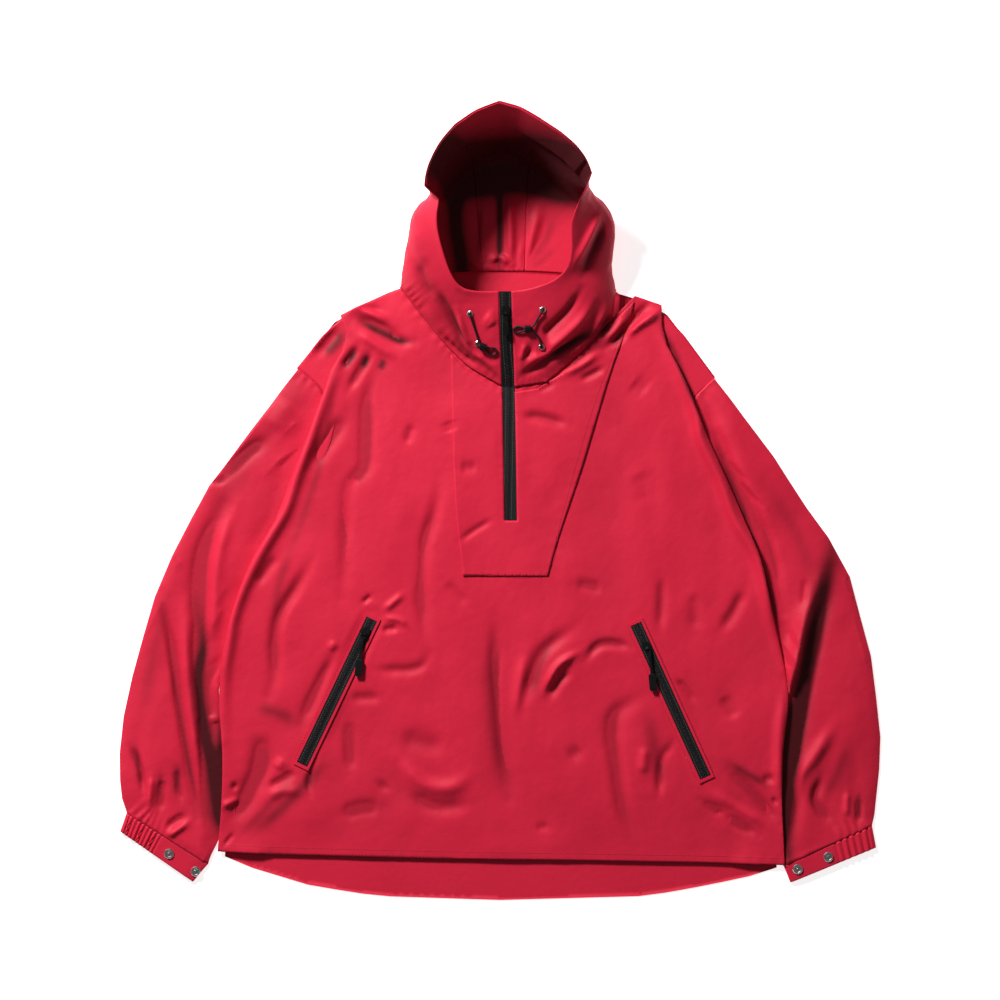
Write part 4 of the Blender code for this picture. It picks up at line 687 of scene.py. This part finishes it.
def split_long(points, faces, longest):
    """Halve every edge over the given length and share out its faces."""
    edges, of_face = edge_table(faces)
    long = np.linalg.norm(points[edges[:, 0]] - points[edges[:, 1]], axis=1) > longest
    middle = np.full(len(edges), -1)
    middle[long] = len(points) + np.arange(long.sum())
    points = np.concatenate([points, points[edges[long]].mean(axis=1)])
    halves = middle[of_face]
    count = (halves >= 0).sum(axis=1)
    made = [faces[count == 0]]
    for marked in (1, 2, 3):
        face, half = faces[count == marked], halves[count == marked]
        start = np.argmax(half >= 0, axis=1) if marked == 1 else (np.argmax(half < 0, axis=1) + 1) % 3
        turn = (start[:, None] + np.arange(3)) % 3
        (a, b, c), (ab, bc, ca) = np.take_along_axis(face, turn, 1).T, np.take_along_axis(half, turn, 1).T
        parts = {
            1: ((a, ab, c), (ab, b, c)),
            2: ((ab, b, bc), (a, ab, bc), (a, bc, c)),
            3: ((a, ab, ca), (ab, b, bc), (ca, bc, c), (ab, bc, ca)),
        }[marked]
        made += [np.stack(part, axis=1) for part in parts]
    return points, np.concatenate(made), int(long.sum())


def corner_angle(points, corner, a, b):
    u, v = points[a] - points[corner], points[b] - points[corner]
    return np.arctan2(np.linalg.norm(np.cross(u, v), axis=1), (u * v).sum(axis=1))


def flip_thin(points, faces, rounds):
    """Turn the edge between two faces where that makes them less thin and bends nothing."""
    faces = faces.copy()
    for _ in range(rounds):
        one, two, a, b, c, d = edge_pairs(faces)
        gain = corner_angle(points, c, a, b) + corner_angle(points, d, a, b) - math.pi
        normal = np.cross(points[b] - points[a], points[c] - points[a])
        other = np.cross(points[d] - points[a], points[b] - points[a])
        both = np.linalg.norm(normal, axis=1) * np.linalg.norm(other, axis=1)
        level = (normal * other).sum(axis=1) > LEVEL_COSINE * both
        mean = normal + other
        first = (np.cross(points[a] - points[c], points[d] - points[c]) * mean).sum(axis=1)
        second = (np.cross(points[b] - points[d], points[c] - points[d]) * mean).sum(axis=1)
        least = LEAST_AREA * (mean * mean).sum(axis=1)
        good = np.flatnonzero((gain > LEAST_GAIN) & level & (first > least) & (second > least))
        if not len(good):
            break
        good = good[np.argsort(-gain[good])]
        rank = np.arange(len(good))
        owner = np.full(len(faces), len(good))
        for face in (one[good], two[good]):
            np.minimum.at(owner, face, rank)
        good = good[(owner[one[good]] == rank) & (owner[two[good]] == rank)]
        faces[one[good]] = np.stack([c[good], a[good], d[good]], axis=1)
        faces[two[good]] = np.stack([d[good], b[good], c[good]], axis=1)
    return faces


def refine(points, faces, longest):
    """Split and turn edges, coarse ones first, until none is much longer than the given length."""
    faces = flip_thin(points, faces, 12)
    for length in (longest * 16, longest * 8, longest * 4, longest * 2, longest):
        for _ in range(8):
            points, faces, done = split_long(points, faces, length)
            faces = flip_thin(points, faces, 4)
            if not done:
                break
    return points, faces


def relax(points, edges, weight, rounds):
    """Move points towards the mean of their neighbours; weight is 0 for those that stay."""
    a, b = edges.T
    count = np.bincount(a, minlength=len(points)) + np.bincount(b, minlength=len(points))
    for _ in range(rounds):
        mean = np.empty_like(points)
        for k in range(3):
            mean[:, k] = sum(np.bincount(at, points[of, k], len(points)) for at, of in ((a, b), (b, a)))
        mean /= np.maximum(count, 1)[:, None]
        points = points + (mean - points) * (weight * 0.5)[:, None]
    return points


class Cloth:
    """A refined sheet: its points in mm, normals, edges and distance to its own border."""

    def __init__(self, node, wall, towards, longest, rounds, sharpest=RIM_ANGLE):
        edit = one_side(node, wall, towards, sharpest)
        bmesh.ops.triangulate(edit, faces=edit.faces)
        edit.verts.index_update()
        points = np.array([v.co for v in edit.verts]) / MM
        faces = np.array([[v.index for v in f.verts] for f in edit.faces])
        edit.free()
        self.points, self.faces = refine(points, faces, longest / MM)
        self.edges, of_face = edge_table(self.faces)
        self.on_border = np.zeros(len(self.points), bool)
        self.on_border[self.edges[np.bincount(of_face.ravel()) == 1]] = True
        free = ~self.on_border
        one, two, start, end = edge_pairs(self.faces)[:4]
        a, b, c = (self.points[self.faces[:, k]] for k in range(3))
        upright = np.cross(b - a, c - a)
        upright /= np.maximum(np.linalg.norm(upright, axis=1), 1e-12)[:, None]
        bent = (upright[one] * upright[two]).sum(axis=1) < BENT_COSINE
        free[start[bent]] = free[end[bent]] = False
        self.points = relax(self.points, self.edges, free.astype(float), rounds)
        self.find_normals()
        self.measure_border()
        # painted shade on the sheet's outer and inner sides, none until an operator sets it
        self.shade = self.inside_shade = np.zeros(len(self.points))

    def find_normals(self):
        a, b, c = (self.points[self.faces[:, k]] for k in range(3))
        face_normals = np.cross(b - a, c - a)
        normals = np.zeros_like(self.points)
        for k in range(3):
            for axis in range(3):
                normals[:, axis] += np.bincount(self.faces[:, k], face_normals[:, axis], len(normals))
        self.normals = normals / np.maximum(np.linalg.norm(normals, axis=1), 1e-12)[:, None]

    def measure_border(self):
        """Distance from each point to the sheet's own border."""
        border = self.points[self.on_border]
        tree = KDTree(len(border))
        for k, point in enumerate(border):
            tree.insert(point, k)
        tree.balance()
        self.border_distance = np.array([tree.find(point)[2] for point in self.points])

    def smooth_border(self, rounds):
        """Smooth the border's gentle bends, where the solid's straight runs meet; its corners stay."""
        rim = self.edges[np.bincount(edge_table(self.faces)[1].ravel()) == 1]
        turn = np.zeros_like(self.points)
        way = self.points[rim[:, 1]] - self.points[rim[:, 0]]
        way /= np.maximum(np.linalg.norm(way, axis=1), 1e-9)[:, None]
        np.add.at(turn, rim[:, 0], way)
        np.add.at(turn, rim[:, 1], -way)
        gentle = self.on_border & (np.linalg.norm(turn, axis=1) < CORNER_TURN)
        self.points = relax(self.points, rim, gentle.astype(float), rounds)
        self.points = relax(self.points, self.edges, (~self.on_border).astype(float), rounds // 4)
        self.find_normals()

    def widen(self, reach):
        """Move the border out, along the sheet, so that neighbouring pieces meet at their seam."""
        of_face = edge_table(self.faces)[1]
        face, k = np.nonzero((np.bincount(of_face.ravel()) == 1)[of_face])
        start, end = self.faces[face, k], self.faces[face, (k + 1) % 3]
        out = np.cross(self.points[end] - self.points[start], self.normals[start] + self.normals[end])
        push = np.zeros_like(self.points)
        np.add.at(push, start, out)
        np.add.at(push, end, out)
        push /= np.maximum(np.linalg.norm(push, axis=1), 1e-9)[:, None]
        self.points = self.points + push * reach

    def move(self, height, direction=None):
        direction = self.normals if direction is None else np.array(direction, float)
        self.points = self.points + direction * height[:, None]
        self.find_normals()

    def keep_above(self, least):
        self.points[:, 2] = np.maximum(self.points[:, 2], least)

    def make(self, name, node, wall, whole):
        """The sheet as an object that rides on the garment and replaces its solid."""
        self.widen(SEAM_REACH.get(node, USUAL_REACH))
        self.keep_above(0)
        mesh = bpy.data.meshes.new(name)
        mesh.from_pydata((self.points * MM).tolist(), [], self.faces.tolist())
        mesh.shade_smooth()
        # the painted shade goes onto the mesh as attributes that the cloth's materials read
        for label, values in (("fold", self.shade), ("inside_fold", self.inside_shade)):
            attribute = mesh.attributes.new(label, "FLOAT", "POINT")
            attribute.data.foreach_set("value", values.astype(np.float32))
        made = new_object(name, mesh)
        mesh.materials.append(shell_nylon())
        # a copy of the cloth's material that paints the inner side's shade
        mesh.materials.append(shell_nylon("shell_nylon_inside", "inside_fold"))
        thick = made.modifiers.new("wall", "SOLIDIFY")
        thick.thickness = wall * MM
        thick.offset = -1
        thick.use_rim_only = not whole
        thick.material_offset = 1 if whole else 0
        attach(made, GARMENT)
        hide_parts(node)
        return made


# ---- materials ----
def new_material(name):
    material = bpy.data.materials.new(name)
    material.use_nodes = True
    return material, material.node_tree, material.node_tree.nodes["Principled BSDF"]


def feed(tree, node, inputs):
    """Set a node's inputs, each from a value or from the socket that it takes."""
    for name, value in inputs.items():
        if isinstance(value, bpy.types.NodeSocket):
            tree.links.new(value, node.inputs[name])
        else:
            node.inputs[name].default_value = value


def add_node(tree, kind, output, inputs, **options):
    """Add a shader node and give its output's socket."""
    node = tree.nodes.new(f"ShaderNode{kind}")
    for name, value in options.items():
        setattr(node, name, value)
    feed(tree, node, inputs)
    return node.outputs[output]


def weave_group():
    """Plain weave: crossed threads, as a height."""
    if "Anorak Weave" in bpy.data.node_groups:
        return bpy.data.node_groups["Anorak Weave"]
    group = bpy.data.node_groups.new("Anorak Weave", "ShaderNodeTree")
    for name, way in (("Pitch", "INPUT"), ("Height", "OUTPUT")):
        group.interface.new_socket(name=name, in_out=way, socket_type="NodeSocketFloat")
    pitch = group.nodes.new("NodeGroupInput").outputs["Pitch"]
    turns = add_node(group, "Math", 0, {0: 2 * math.pi, 1: pitch}, operation="DIVIDE")
    place = add_node(group, "TexCoord", "Object", {})
    waves = {}
    for number, axis in enumerate("XY"):
        along = add_node(group, "SeparateXYZ", axis, {0: place})
        scaled = add_node(group, "Math", 0, {0: along, 1: turns}, operation="MULTIPLY")
        waves[number] = add_node(group, "Math", 0, {0: scaled}, operation="SINE")
    height = add_node(group, "Math", 0, waves, operation="MULTIPLY")
    feed(group, group.nodes.new("NodeGroupOutput"), {"Height": height})
    return group


def shell_nylon(name="shell_nylon", fold="fold"):
    """Satin nylon: an uneven dye, a fine weave, small crinkles, and a painted shade where folds and the hood
    shade it.
    """
    if name in bpy.data.materials:
        return bpy.data.materials[name]
    cloth = settings("anorak_cloth")
    shades = {key: (*getattr(cloth, key), 1) for key in ("shell_colour", "shell_shade", "painted_shade_colour")}
    material, tree, shader = new_material(name)
    place = add_node(tree, "TexCoord", "Object", {})
    patches = add_node(tree, "TexNoise", "Fac", {"Vector": place, "Scale": 9, "Detail": 5})
    dye = {"Factor": patches, "A": shades["shell_shade"], "B": shades["shell_colour"]}
    # the painted shade stored on the cloth takes its colour towards the shade colour
    shade = add_node(tree, "Attribute", "Fac", {}, attribute_name=fold)
    painted_shade_mix = {
        "Factor": shade,
        "A": add_node(tree, "Mix", "Result", dye, data_type="RGBA"),
        "B": shades["painted_shade_colour"],
    }
    crinkle = add_node(tree, "TexNoise", "Fac", {"Vector": place, "Scale": 120, "Detail": 4})
    crinkle_bump = {"Height": crinkle, "Strength": 0.25, "Distance": 0.0012}
    weave_bump = {
        "Height": add_node(tree, "Group", "Height", {"Pitch": cloth.weave_pitch}, node_tree=weave_group()),
        "Strength": 0.12,
        "Distance": 0.0001,
        "Normal": add_node(tree, "Bump", 0, crinkle_bump),
    }
    feed(tree, shader, {
        "Base Color": add_node(tree, "Mix", "Result", painted_shade_mix, data_type="RGBA"),
        "Roughness": add_node(tree, "MapRange", 0, {"Value": patches, "To Min": 0.5, "To Max": 0.66}),
        "Specular IOR Level": 0.2,
        "Sheen Weight": 0.06,
        "Sheen Roughness": 0.5,
        "Sheen Tint": (1.0, 0.45, 0.5, 1),
        "Normal": add_node(tree, "Bump", 0, weave_bump),
    })
    return material


# The trims' finishes: the colour's setting, roughness, metallic, the grain's scale, and the
# strength and depth of its bump.
FINISHES = {
    "black_plastic": ("black", 0.38, 0.0, 600, 0.15, 0.0002),
    "black_tape": ("black", 0.6, 0.0, 2500, 0.5, 0.0003),
    "braided_cord": ("cord", 0.65, 0.0, 1500, 0.6, 0.0004),
    "satin_thread": ("tape_thread", 0.45, 0.0, 3000, 0.4, 0.0002),
    "sewing_thread": ("thread", 0.6, 0.0, 3000, 0.4, 0.0002),
    "satin_steel": ("steel", 0.3, 1.0, 900, 0.1, 0.0001),
}
GRAIN_DARKER, GRAIN_LIGHTER, GRAIN_ROUGHER = 0.75, 1.3, 0.08  # how far the grain varies a finish


def trim_finish(name):
    """A finish with fine grain: colour, roughness and bump each vary a little."""
    if name in bpy.data.materials:
        return bpy.data.materials[name]
    setting, roughness, metallic, scale, strength, distance = FINISHES[name]
    colour = getattr(settings("anorak_trim"), setting)
    material, tree, shader = new_material(name)
    place = add_node(tree, "TexCoord", "Object", {})
    grain = add_node(tree, "TexNoise", "Fac", {"Vector": place, "Scale": scale, "Detail": 4})
    tone = {
        "Factor": grain,
        "A": (*(c * GRAIN_DARKER for c in colour), 1),
        "B": (*(min(c * GRAIN_LIGHTER, 1) for c in colour), 1),
    }
    rough = {"Value": grain, "To Min": roughness - GRAIN_ROUGHER, "To Max": roughness + GRAIN_ROUGHER}
    feed(tree, shader, {
        "Base Color": add_node(tree, "Mix", "Result", tone, data_type="RGBA"),
        "Roughness": add_node(tree, "MapRange", 0, rough),
        "Metallic": metallic,
        "Specular IOR Level": 0.3,
        "Normal": add_node(tree, "Bump", 0, {"Height": grain, "Strength": strength, "Distance": distance}),
    })
    return material


# ---- rows of small parts laid on a surface ----
def surface_of(*objects):
    """One tree over the faces of several objects, to lay things on."""
    points, faces = [], []
    for made in objects:
        first = len(points)
        points += [made.matrix_world @ v.co for v in made.data.vertices]
        faces += [[first + i for i in face.vertices] for face in made.data.polygons]
    return BVHTree.FromPolygons(points, faces)


def laid_along(surface, line, pitch):
    """Places along a plan line at a regular pitch, each with its way along and the surface's normal."""
    line = smooth_line(line)
    run = np.concatenate([[0], np.cumsum(np.linalg.norm(np.diff(line, axis=0), axis=1))])
    for at in np.arange(pitch / 2, run[-1], pitch):
        xy = [np.interp(at, run, column) for column in line.T]
        ahead = [np.diff(np.interp((at - 0.5, at + 0.5), run, column))[0] for column in line.T]
        hit = surface.ray_cast(Vector((xy[0] * MM, xy[1] * MM, 1)), Vector((0, 0, -1)))
        if hit[0] is None or hit[1].z < 0.3:
            continue
        way = Vector((*ahead, 0))
        way = (way - hit[1] * way.dot(hit[1])).normalized()
        yield hit[0], way, hit[1], hit[1].cross(way)


# a small bar: each ring's height and size, and the outline of a ring, as shares of its own
BAR_RINGS = ((-0.3, 1.0), (0.35, 1.0), (0.7, 0.6))
BAR_OUTLINE = ((-1, -0.5), (-0.7, -1), (0.7, -1), (1, -0.5), (1, 0.5), (0.7, 1), (-0.7, 1), (-1, 0.5))


def small_parts(name, places, size, shift, material):
    """Small bevelled bars at the given places, as one object; each stands aside by its shift in turn."""
    length, width, height = (side * MM for side in size)
    points, faces, corners = [], [], len(BAR_OUTLINE)
    for number, (place, way, up, aside) in enumerate(places):
        first = len(points)
        middle = place + aside * (shift * (1 if number % 2 else -1) * MM)
        for rise, share in BAR_RINGS:
            for u, v in BAR_OUTLINE:
                along, across = u * share * length / 2, v * share * width / 2
                points.append(middle + way * along + aside * across + up * (rise * height))
        for ring in (0, corners):
            for k in range(corners):
                turn = (k + 1) % corners
                faces.append([first + ring + i for i in (k, turn, corners + turn, corners + k)])
        faces.append([first + 2 * corners + k for k in range(corners)])
    mesh = bpy.data.meshes.new(name)
    mesh.from_pydata(points, [], faces)
    mesh.shade_smooth()
    mesh.materials.append(material)
    made = new_object(name, mesh)
    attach(made, GARMENT)
    return made


def beside(line, distance):
    """A line that runs beside another, at its left for a positive distance."""
    line = smooth_line(line)
    along = np.gradient(line, axis=0)
    out = np.stack([-along[:, 1], along[:, 0]], axis=1) / np.linalg.norm(along, axis=1)[:, None]
    return [tuple(point) for point in line + out * distance]


# ---- operators ----
class ANORAK_OT_stage(bpy.types.Operator):
    """Pale floor, soft light from the upper left and a camera that looks straight down"""

    bl_idname = "anorak.stage"
    bl_label = "Stage and camera"

    def execute(self, context):
        stage = settings("anorak_stage")
        scene = context.scene
        low, high = (Vector(corner) for corner in CAD_BOX)
        data = bpy.data.cameras.new("camera")
        data.sensor_width = SENSOR_WIDTH
        data.lens = SENSOR_WIDTH * stage.camera_height / stage.view_width
        data.clip_end = 50
        camera = new_object("camera", data)
        camera.location = ((low.x + high.x) / 2, VIEW_CENTRE_Y, stage.camera_height)
        scene.camera = camera

        floor_mesh = bpy.data.meshes.new("floor")
        corners = [(u * FLOOR_REACH, v * FLOOR_REACH, 0) for u, v in ((-1, -1), (1, -1), (1, 1), (-1, 1))]
        floor_mesh.from_pydata(corners, [], [(0, 1, 2, 3)])
        floor = new_object("floor", floor_mesh)
        floor.location.z = -FLOOR_DROP
        material, tree, shader = new_material("floor_paper")
        feed(tree, shader, {
            "Base Color": FLOOR_TONE,
            "Roughness": 0.9,
            "Specular IOR Level": 0.1,
            "Emission Color": WHITE,
            "Emission Strength": FLOOR_GLOW,
        })
        floor_mesh.materials.append(material)

        light_data = bpy.data.lights.new("key", "AREA")
        light_data.shape = "DISK"
        light_data.size = KEY_SIZE
        light_data.energy = stage.key_power
        key = new_object("key", light_data)
        key.location = KEY_PLACE
        key.rotation_euler = (-key.location).to_track_quat("-Z", "Y").to_euler()
        world = bpy.data.worlds.new("studio")
        world.use_nodes = True
        background = world.node_tree.nodes["Background"]
        feed(world.node_tree, background, {"Color": WHITE, "Strength": stage.fill_strength})
        scene.world = world
        scene.view_settings.view_transform = "Standard"
        return {"FINISHED"}


class ANORAK_OT_drawcords(bpy.types.Operator):
    """The collar's two drawcords, with their locks"""

    bl_idname = "anorak.drawcords"
    bl_label = "Drawcords"

    def execute(self, context):
        for side, route in (("left", CORD_LEFT), ("right", CORD_RIGHT)):
            points = smooth_line(route, 4)
            data = bpy.data.curves.new(f"cord_{side}", "CURVE")
            data.dimensions = "3D"
            data.bevel_depth = CORD_DIAMETER / 2 * MM
            data.bevel_resolution = 3
            data.use_fill_caps = True
            spline = data.splines.new("POLY")
            spline.points.add(len(points) - 1)
            for point, place in zip(spline.points, points):
                point.co = (*(place * MM), 1)
            data.materials.append(trim_finish("braided_cord"))
            cord = new_object(f"cord_{side}", data)
            lock = NODES[f"cord_lock_{side}"]
            lock.data.materials.clear()
            lock.data.materials.append(trim_finish("black_plastic"))
            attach(cord, GARMENT)
            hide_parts(f"drawcord_{side}")
        return {"FINISHED"}


class ANORAK_OT_body(bpy.types.Operator):
    """The front, the placket and the back, with their creases"""

    bl_idname = "anorak.body"
    bl_label = "Body"

    def execute(self, context):
        size = cloth_mesh_size()
        front = Cloth("front_panel", CLOTH_WALL, "up", size, rounds=30)
        placket = Cloth("placket_panel", CLOTH_WALL, "up", size, rounds=20)
        for cloth in (front, placket):
            xy = cloth.points[:, :2]
            upward = smoothstep(*BODY_FACES_UP, cloth.normals[:, 2])
            upper = upward * smoothstep(*BODY_LAID, cloth.points[:, 2])
            under = upward * (cloth.points[:, 2] < UNDER_HEIGHT)
            height = crease_relief(xy, FRONT_CREASES) + undulation(xy, BODY_SEED)
            height *= calm_near(xy, (FRONT_ZIP, *POCKET_ZIPS), *ZIP_CALM)
            height *= calm_near(xy, NECK_SEAMS, *SEAM_CALM)
            height += puckers(xy, BODY_PUCKERS)
            above_hem = xy[:, 1] - np.interp(xy[:, 0], *np.transpose(HEM))
            near_hem = 1 - smoothstep(0, LIFT_FADE, above_hem)
            for x, half_width, lift in HEM_LIFTS:
                height += lift * np.exp(-(((xy[:, 0] - x) / half_width) ** 2)) * near_hem
            height += HEM_FOLD[0] * (1 - smoothstep(*HEM_FOLD[1:], above_hem))
            # painted shade in the front's folds, on cloth that faces up
            cloth.shade = painted_fold_shade(xy, FRONT_SHADES, np.where(upper > 0.5, height, 0)) * upward
            folded_in = crease_relief(xy, UNDER_CREASES) + undulation(xy, BODY_SEED) * UNDER_WAVES
            cloth.move(np.where(under, folded_in, height * upper), (0, 0, 1))
            cloth.keep_above(np.where(upper > 0.5, BODY_LEAST, NO_LEAST))
        back = Cloth("back_panel", CLOTH_WALL, "down", size * BACK_MESH, rounds=0)
        made = [
            (front.make("front", "front_panel", SHOWN_WALL, False), (0.96, 0.74), 0.52),
            (placket.make("placket", "placket_panel", SHOWN_WALL, False), (0.2, 0.36), 0.04),
            (back.make("back", "back_panel", SHOWN_WALL, False), (0.8, 0.78), 0.44),
        ]
        return {"FINISHED"}


class ANORAK_OT_sleeves(bpy.types.Operator):
    """Both sleeves and their gathered cuffs"""

    bl_idname = "anorak.sleeves"
    bl_label = "Sleeves and cuffs"

    def execute(self, context):
        size = cloth_mesh_size()
        for side in ("left", "right"):
            sleeve = Cloth(f"sleeve_{side}", CLOTH_WALL, "out", size, rounds=30)
            xy = sleeve.points[:, :2]
            upper = smoothstep(*SLEEVE_FACES_UP, sleeve.normals[:, 2])
            upper *= smoothstep(*SLEEVE_LAID, sleeve.points[:, 2])
            height = crease_relief(xy, SLEEVE_CREASES) + undulation(xy, SLEEVE_SEED)
            height *= smoothstep(*SLEEVE_CREASES_IN, sleeve.border_distance)
            height += puckers(xy, SLEEVE_PUCKERS)
            height *= smoothstep(*SLEEVE_PUCKERS_IN, sleeve.border_distance)
            # painted shade in the sleeve's folds and where the body's side folds shade it
            sleeve.shade = painted_fold_shade(xy, SLEEVE_SHADES, height) * upper
            sleeve.move(height * upper, (0, 0, 1))
            sleeve.keep_above(np.where(upper > 0.5, SLEEVE_LEAST, NO_LEAST))
            # the inner edge is tucked under the body's side
            x, y, z = sleeve.points.T
            edge = np.interp(-y, *np.transpose(TUCKED_EDGE[side]))
            tuck = 1 - smoothstep(0, TUCK_REACH, np.abs(x - edge))
            tuck *= smoothstep(*TUCK_START, -y) * (1 - smoothstep(*TUCK_END, -y))
            sleeve.points[:, 0] -= np.sign(x) * TUCK * tuck
            sleeve.points[:, 2] = z + (np.minimum(z, TUCKED_HEIGHT) - z) * tuck
            sleeve.find_normals()
            piece = sleeve.make(f"sleeve_cloth_{side}", f"sleeve_{side}", SHOWN_WALL, False)
            cuff = Cloth(f"cuff_{side}", CUFF_WALL, "out", size * CUFF_MESH, rounds=6, sharpest=math.pi)
            piece = cuff.make(f"cuff_cloth_{side}", f"cuff_{side}", CUFF_SHOWN_WALL, True)
        return {"FINISHED"}


class ANORAK_OT_hood(bpy.types.Operator):
    """The hood's three panels and the facing inside its brow"""

    bl_idname = "anorak.hood"
    bl_label = "Hood"

    def execute(self, context):
        size = cloth_mesh_size()
        panels = (
            ("left", (0.24, 0.27), 0.048), ("right", (0.24, 0.27), 0.045), ("centre", (0.08, 0.4), 0.022),
        )
        for name, flat, area in panels:
            panel = Cloth(f"hood_{name}", CLOTH_WALL, "out", size * HOOD_MESH, rounds=20)
            panel.smooth_border(rounds=24)
            xy = panel.points[:, :2]
            inner = crease_relief(xy, INNER_CREASES) + puckers(xy, INNER_PUCKERS)
            inside_border = smoothstep(*HOOD_RELIEF_IN, panel.border_distance)
            inner *= smoothstep(*HOOD_FACES_UP, -panel.normals[:, 2]) * inside_border
            height = crease_relief(xy, HOOD_CREASES) + undulation(xy, HOOD_SEED) * HOOD_WAVES
            cords = [[point[:2] for point in route] for route in (CORD_LEFT, CORD_RIGHT)]
            height *= calm_near(xy, cords, *CORD_CALM)
            height *= calm_near(xy, (FRONT_ZIP,), *HOOD_ZIP_CALM)
            height += puckers(xy, HOOD_PUCKERS)
            height *= smoothstep(*HOOD_FACES_UP, panel.normals[:, 2]) * inside_border
            outward = smoothstep(*HOOD_OUTSIDE, panel.normals[:, 2])
            # painted shade: outside on the collar and right side, inside under the crown and down the left
            panel.shade = painted_fold_shade(xy, HOOD_SHADES, height) * outward
            panel.inside_shade = painted_fold_shade(xy, INSIDE_SHADES, inner)
            panel.move(height)
            panel.move(np.maximum(inner, np.minimum(1.0 - panel.points[:, 2], 0)), (0, 0, 1))
            piece = panel.make(f"hood_cloth_{name}", f"hood_{name}", SHOWN_WALL, True)
        facing = Cloth("hood_facing", CLOTH_WALL, "front", size * HOOD_MESH, rounds=10)
        # painted shade on the facing, under the crown as inside the hood
        facing.shade = painted_fold_shade(facing.points[:, :2], INSIDE_SHADES, facing.points[:, 2] * 0)
        piece = facing.make("hood_facing_cloth", "hood_facing", FACING_SHOWN_WALL, True)
        return {"FINISHED"}


class ANORAK_OT_trims(bpy.types.Operator):
    """Zips with their pulls, pocket welts, snaps and eyelets"""

    bl_idname = "anorak.trims"
    bl_label = "Zips and snaps"

    def execute(self, context):
        for name, node in NODES.items():
            if node.hide_render or name.startswith("cord_lock"):
                continue
            if "tape" in name:
                finish = trim_finish("black_tape")
            elif "welt" in name:
                finish = shell_nylon()
            elif name.startswith(("snap", "eyelet")):
                finish = trim_finish("satin_steel")
            else:
                finish = trim_finish("black_plastic")
            node.data.materials.clear()
            node.data.materials.append(finish)
        return {"FINISHED"}


class ANORAK_OT_sewing(bpy.types.Operator):
    """Stitches along the seams, and the teeth of the three zips"""

    bl_idname = "anorak.sewing"
    bl_label = "Stitches and zip teeth"

    def execute(self, context):
        made = bpy.data.objects
        body = surface_of(made["front"], made["placket"])
        rows = [(body, HEM, HEM_ROW), (body, PLACKET_EDGE, PLACKET_ROW)]
        rows += [(body, seam, -SEAM_ROW) for seam in NECK_SEAMS]
        for side, seam in zip(("left", "right"), ARMHOLES):
            sleeve = surface_of(made[f"sleeve_cloth_{side}"])
            rows += [(sleeve, seam, away) for away in (-SEAM_ROW, SEAM_ROW)]
        rows += [(body, line, away) for line in POCKET_ZIPS for away in (-WELT_ROW, WELT_ROW)]
        tapes = surface_of(*(NODES[name] for name in ZIP_TAPES))
        zips = (FRONT_ZIP_RUN, *POCKET_ZIPS)
        edges = [(tapes, line, away) for line in zips for away in (-TAPE_ROW, TAPE_ROW)]

        def stitch_places(lines):
            return [
                place for surface, line, away in lines
                for place in laid_along(surface, beside(line, away), STITCH_PITCH)
            ]

        small_parts("stitches", stitch_places(rows), STITCH, 0, trim_finish("sewing_thread"))
        teeth = [place for line in zips for place in laid_along(tapes, line, TOOTH_PITCH)]
        small_parts("zip_teeth", teeth, TOOTH, TOOTH_SHIFT, trim_finish("black_plastic"))
        small_parts("tape_stitches", stitch_places(edges), TAPE_STITCH, 0, trim_finish("satin_thread"))
        return {"FINISHED"}


class ANORAK_PT_panel(bpy.types.Panel):
    bl_label = "Anorak Pullover"
    bl_idname = "ANORAK_PT_panel"
    bl_space_type = "VIEW_3D"
    bl_region_type = "UI"
    bl_category = "Anorak"

    def draw(self, context):
        for operator in OPERATORS:
            self.layout.operator(operator.bl_idname)


SETTINGS = (("anorak_cloth", AnorakCloth), ("anorak_trim", AnorakTrim), ("anorak_stage", AnorakStage))
OPERATORS = (
    ANORAK_OT_stage, ANORAK_OT_drawcords, ANORAK_OT_body, ANORAK_OT_sleeves, ANORAK_OT_hood,
    ANORAK_OT_trims, ANORAK_OT_sewing,
)


def register():
    for name, group in SETTINGS:
        bpy.utils.register_class(group)
        setattr(bpy.types.Scene, name, bpy.props.PointerProperty(type=group))
    for made in (*OPERATORS, ANORAK_PT_panel):
        bpy.utils.register_class(made)


def unregister():
    for made in reversed((*OPERATORS, ANORAK_PT_panel)):
        bpy.utils.unregister_class(made)
    for name, group in reversed(SETTINGS):
        delattr(bpy.types.Scene, name)
        bpy.utils.unregister_class(group)


def main():
    register()
    bpy.ops.anorak.stage()
    bpy.ops.anorak.drawcords()
    bpy.ops.anorak.body()
    bpy.ops.anorak.sleeves()
    bpy.ops.anorak.hood()
    bpy.ops.anorak.trims()
    bpy.ops.anorak.sewing()


if __name__ == "__main__":
    main()
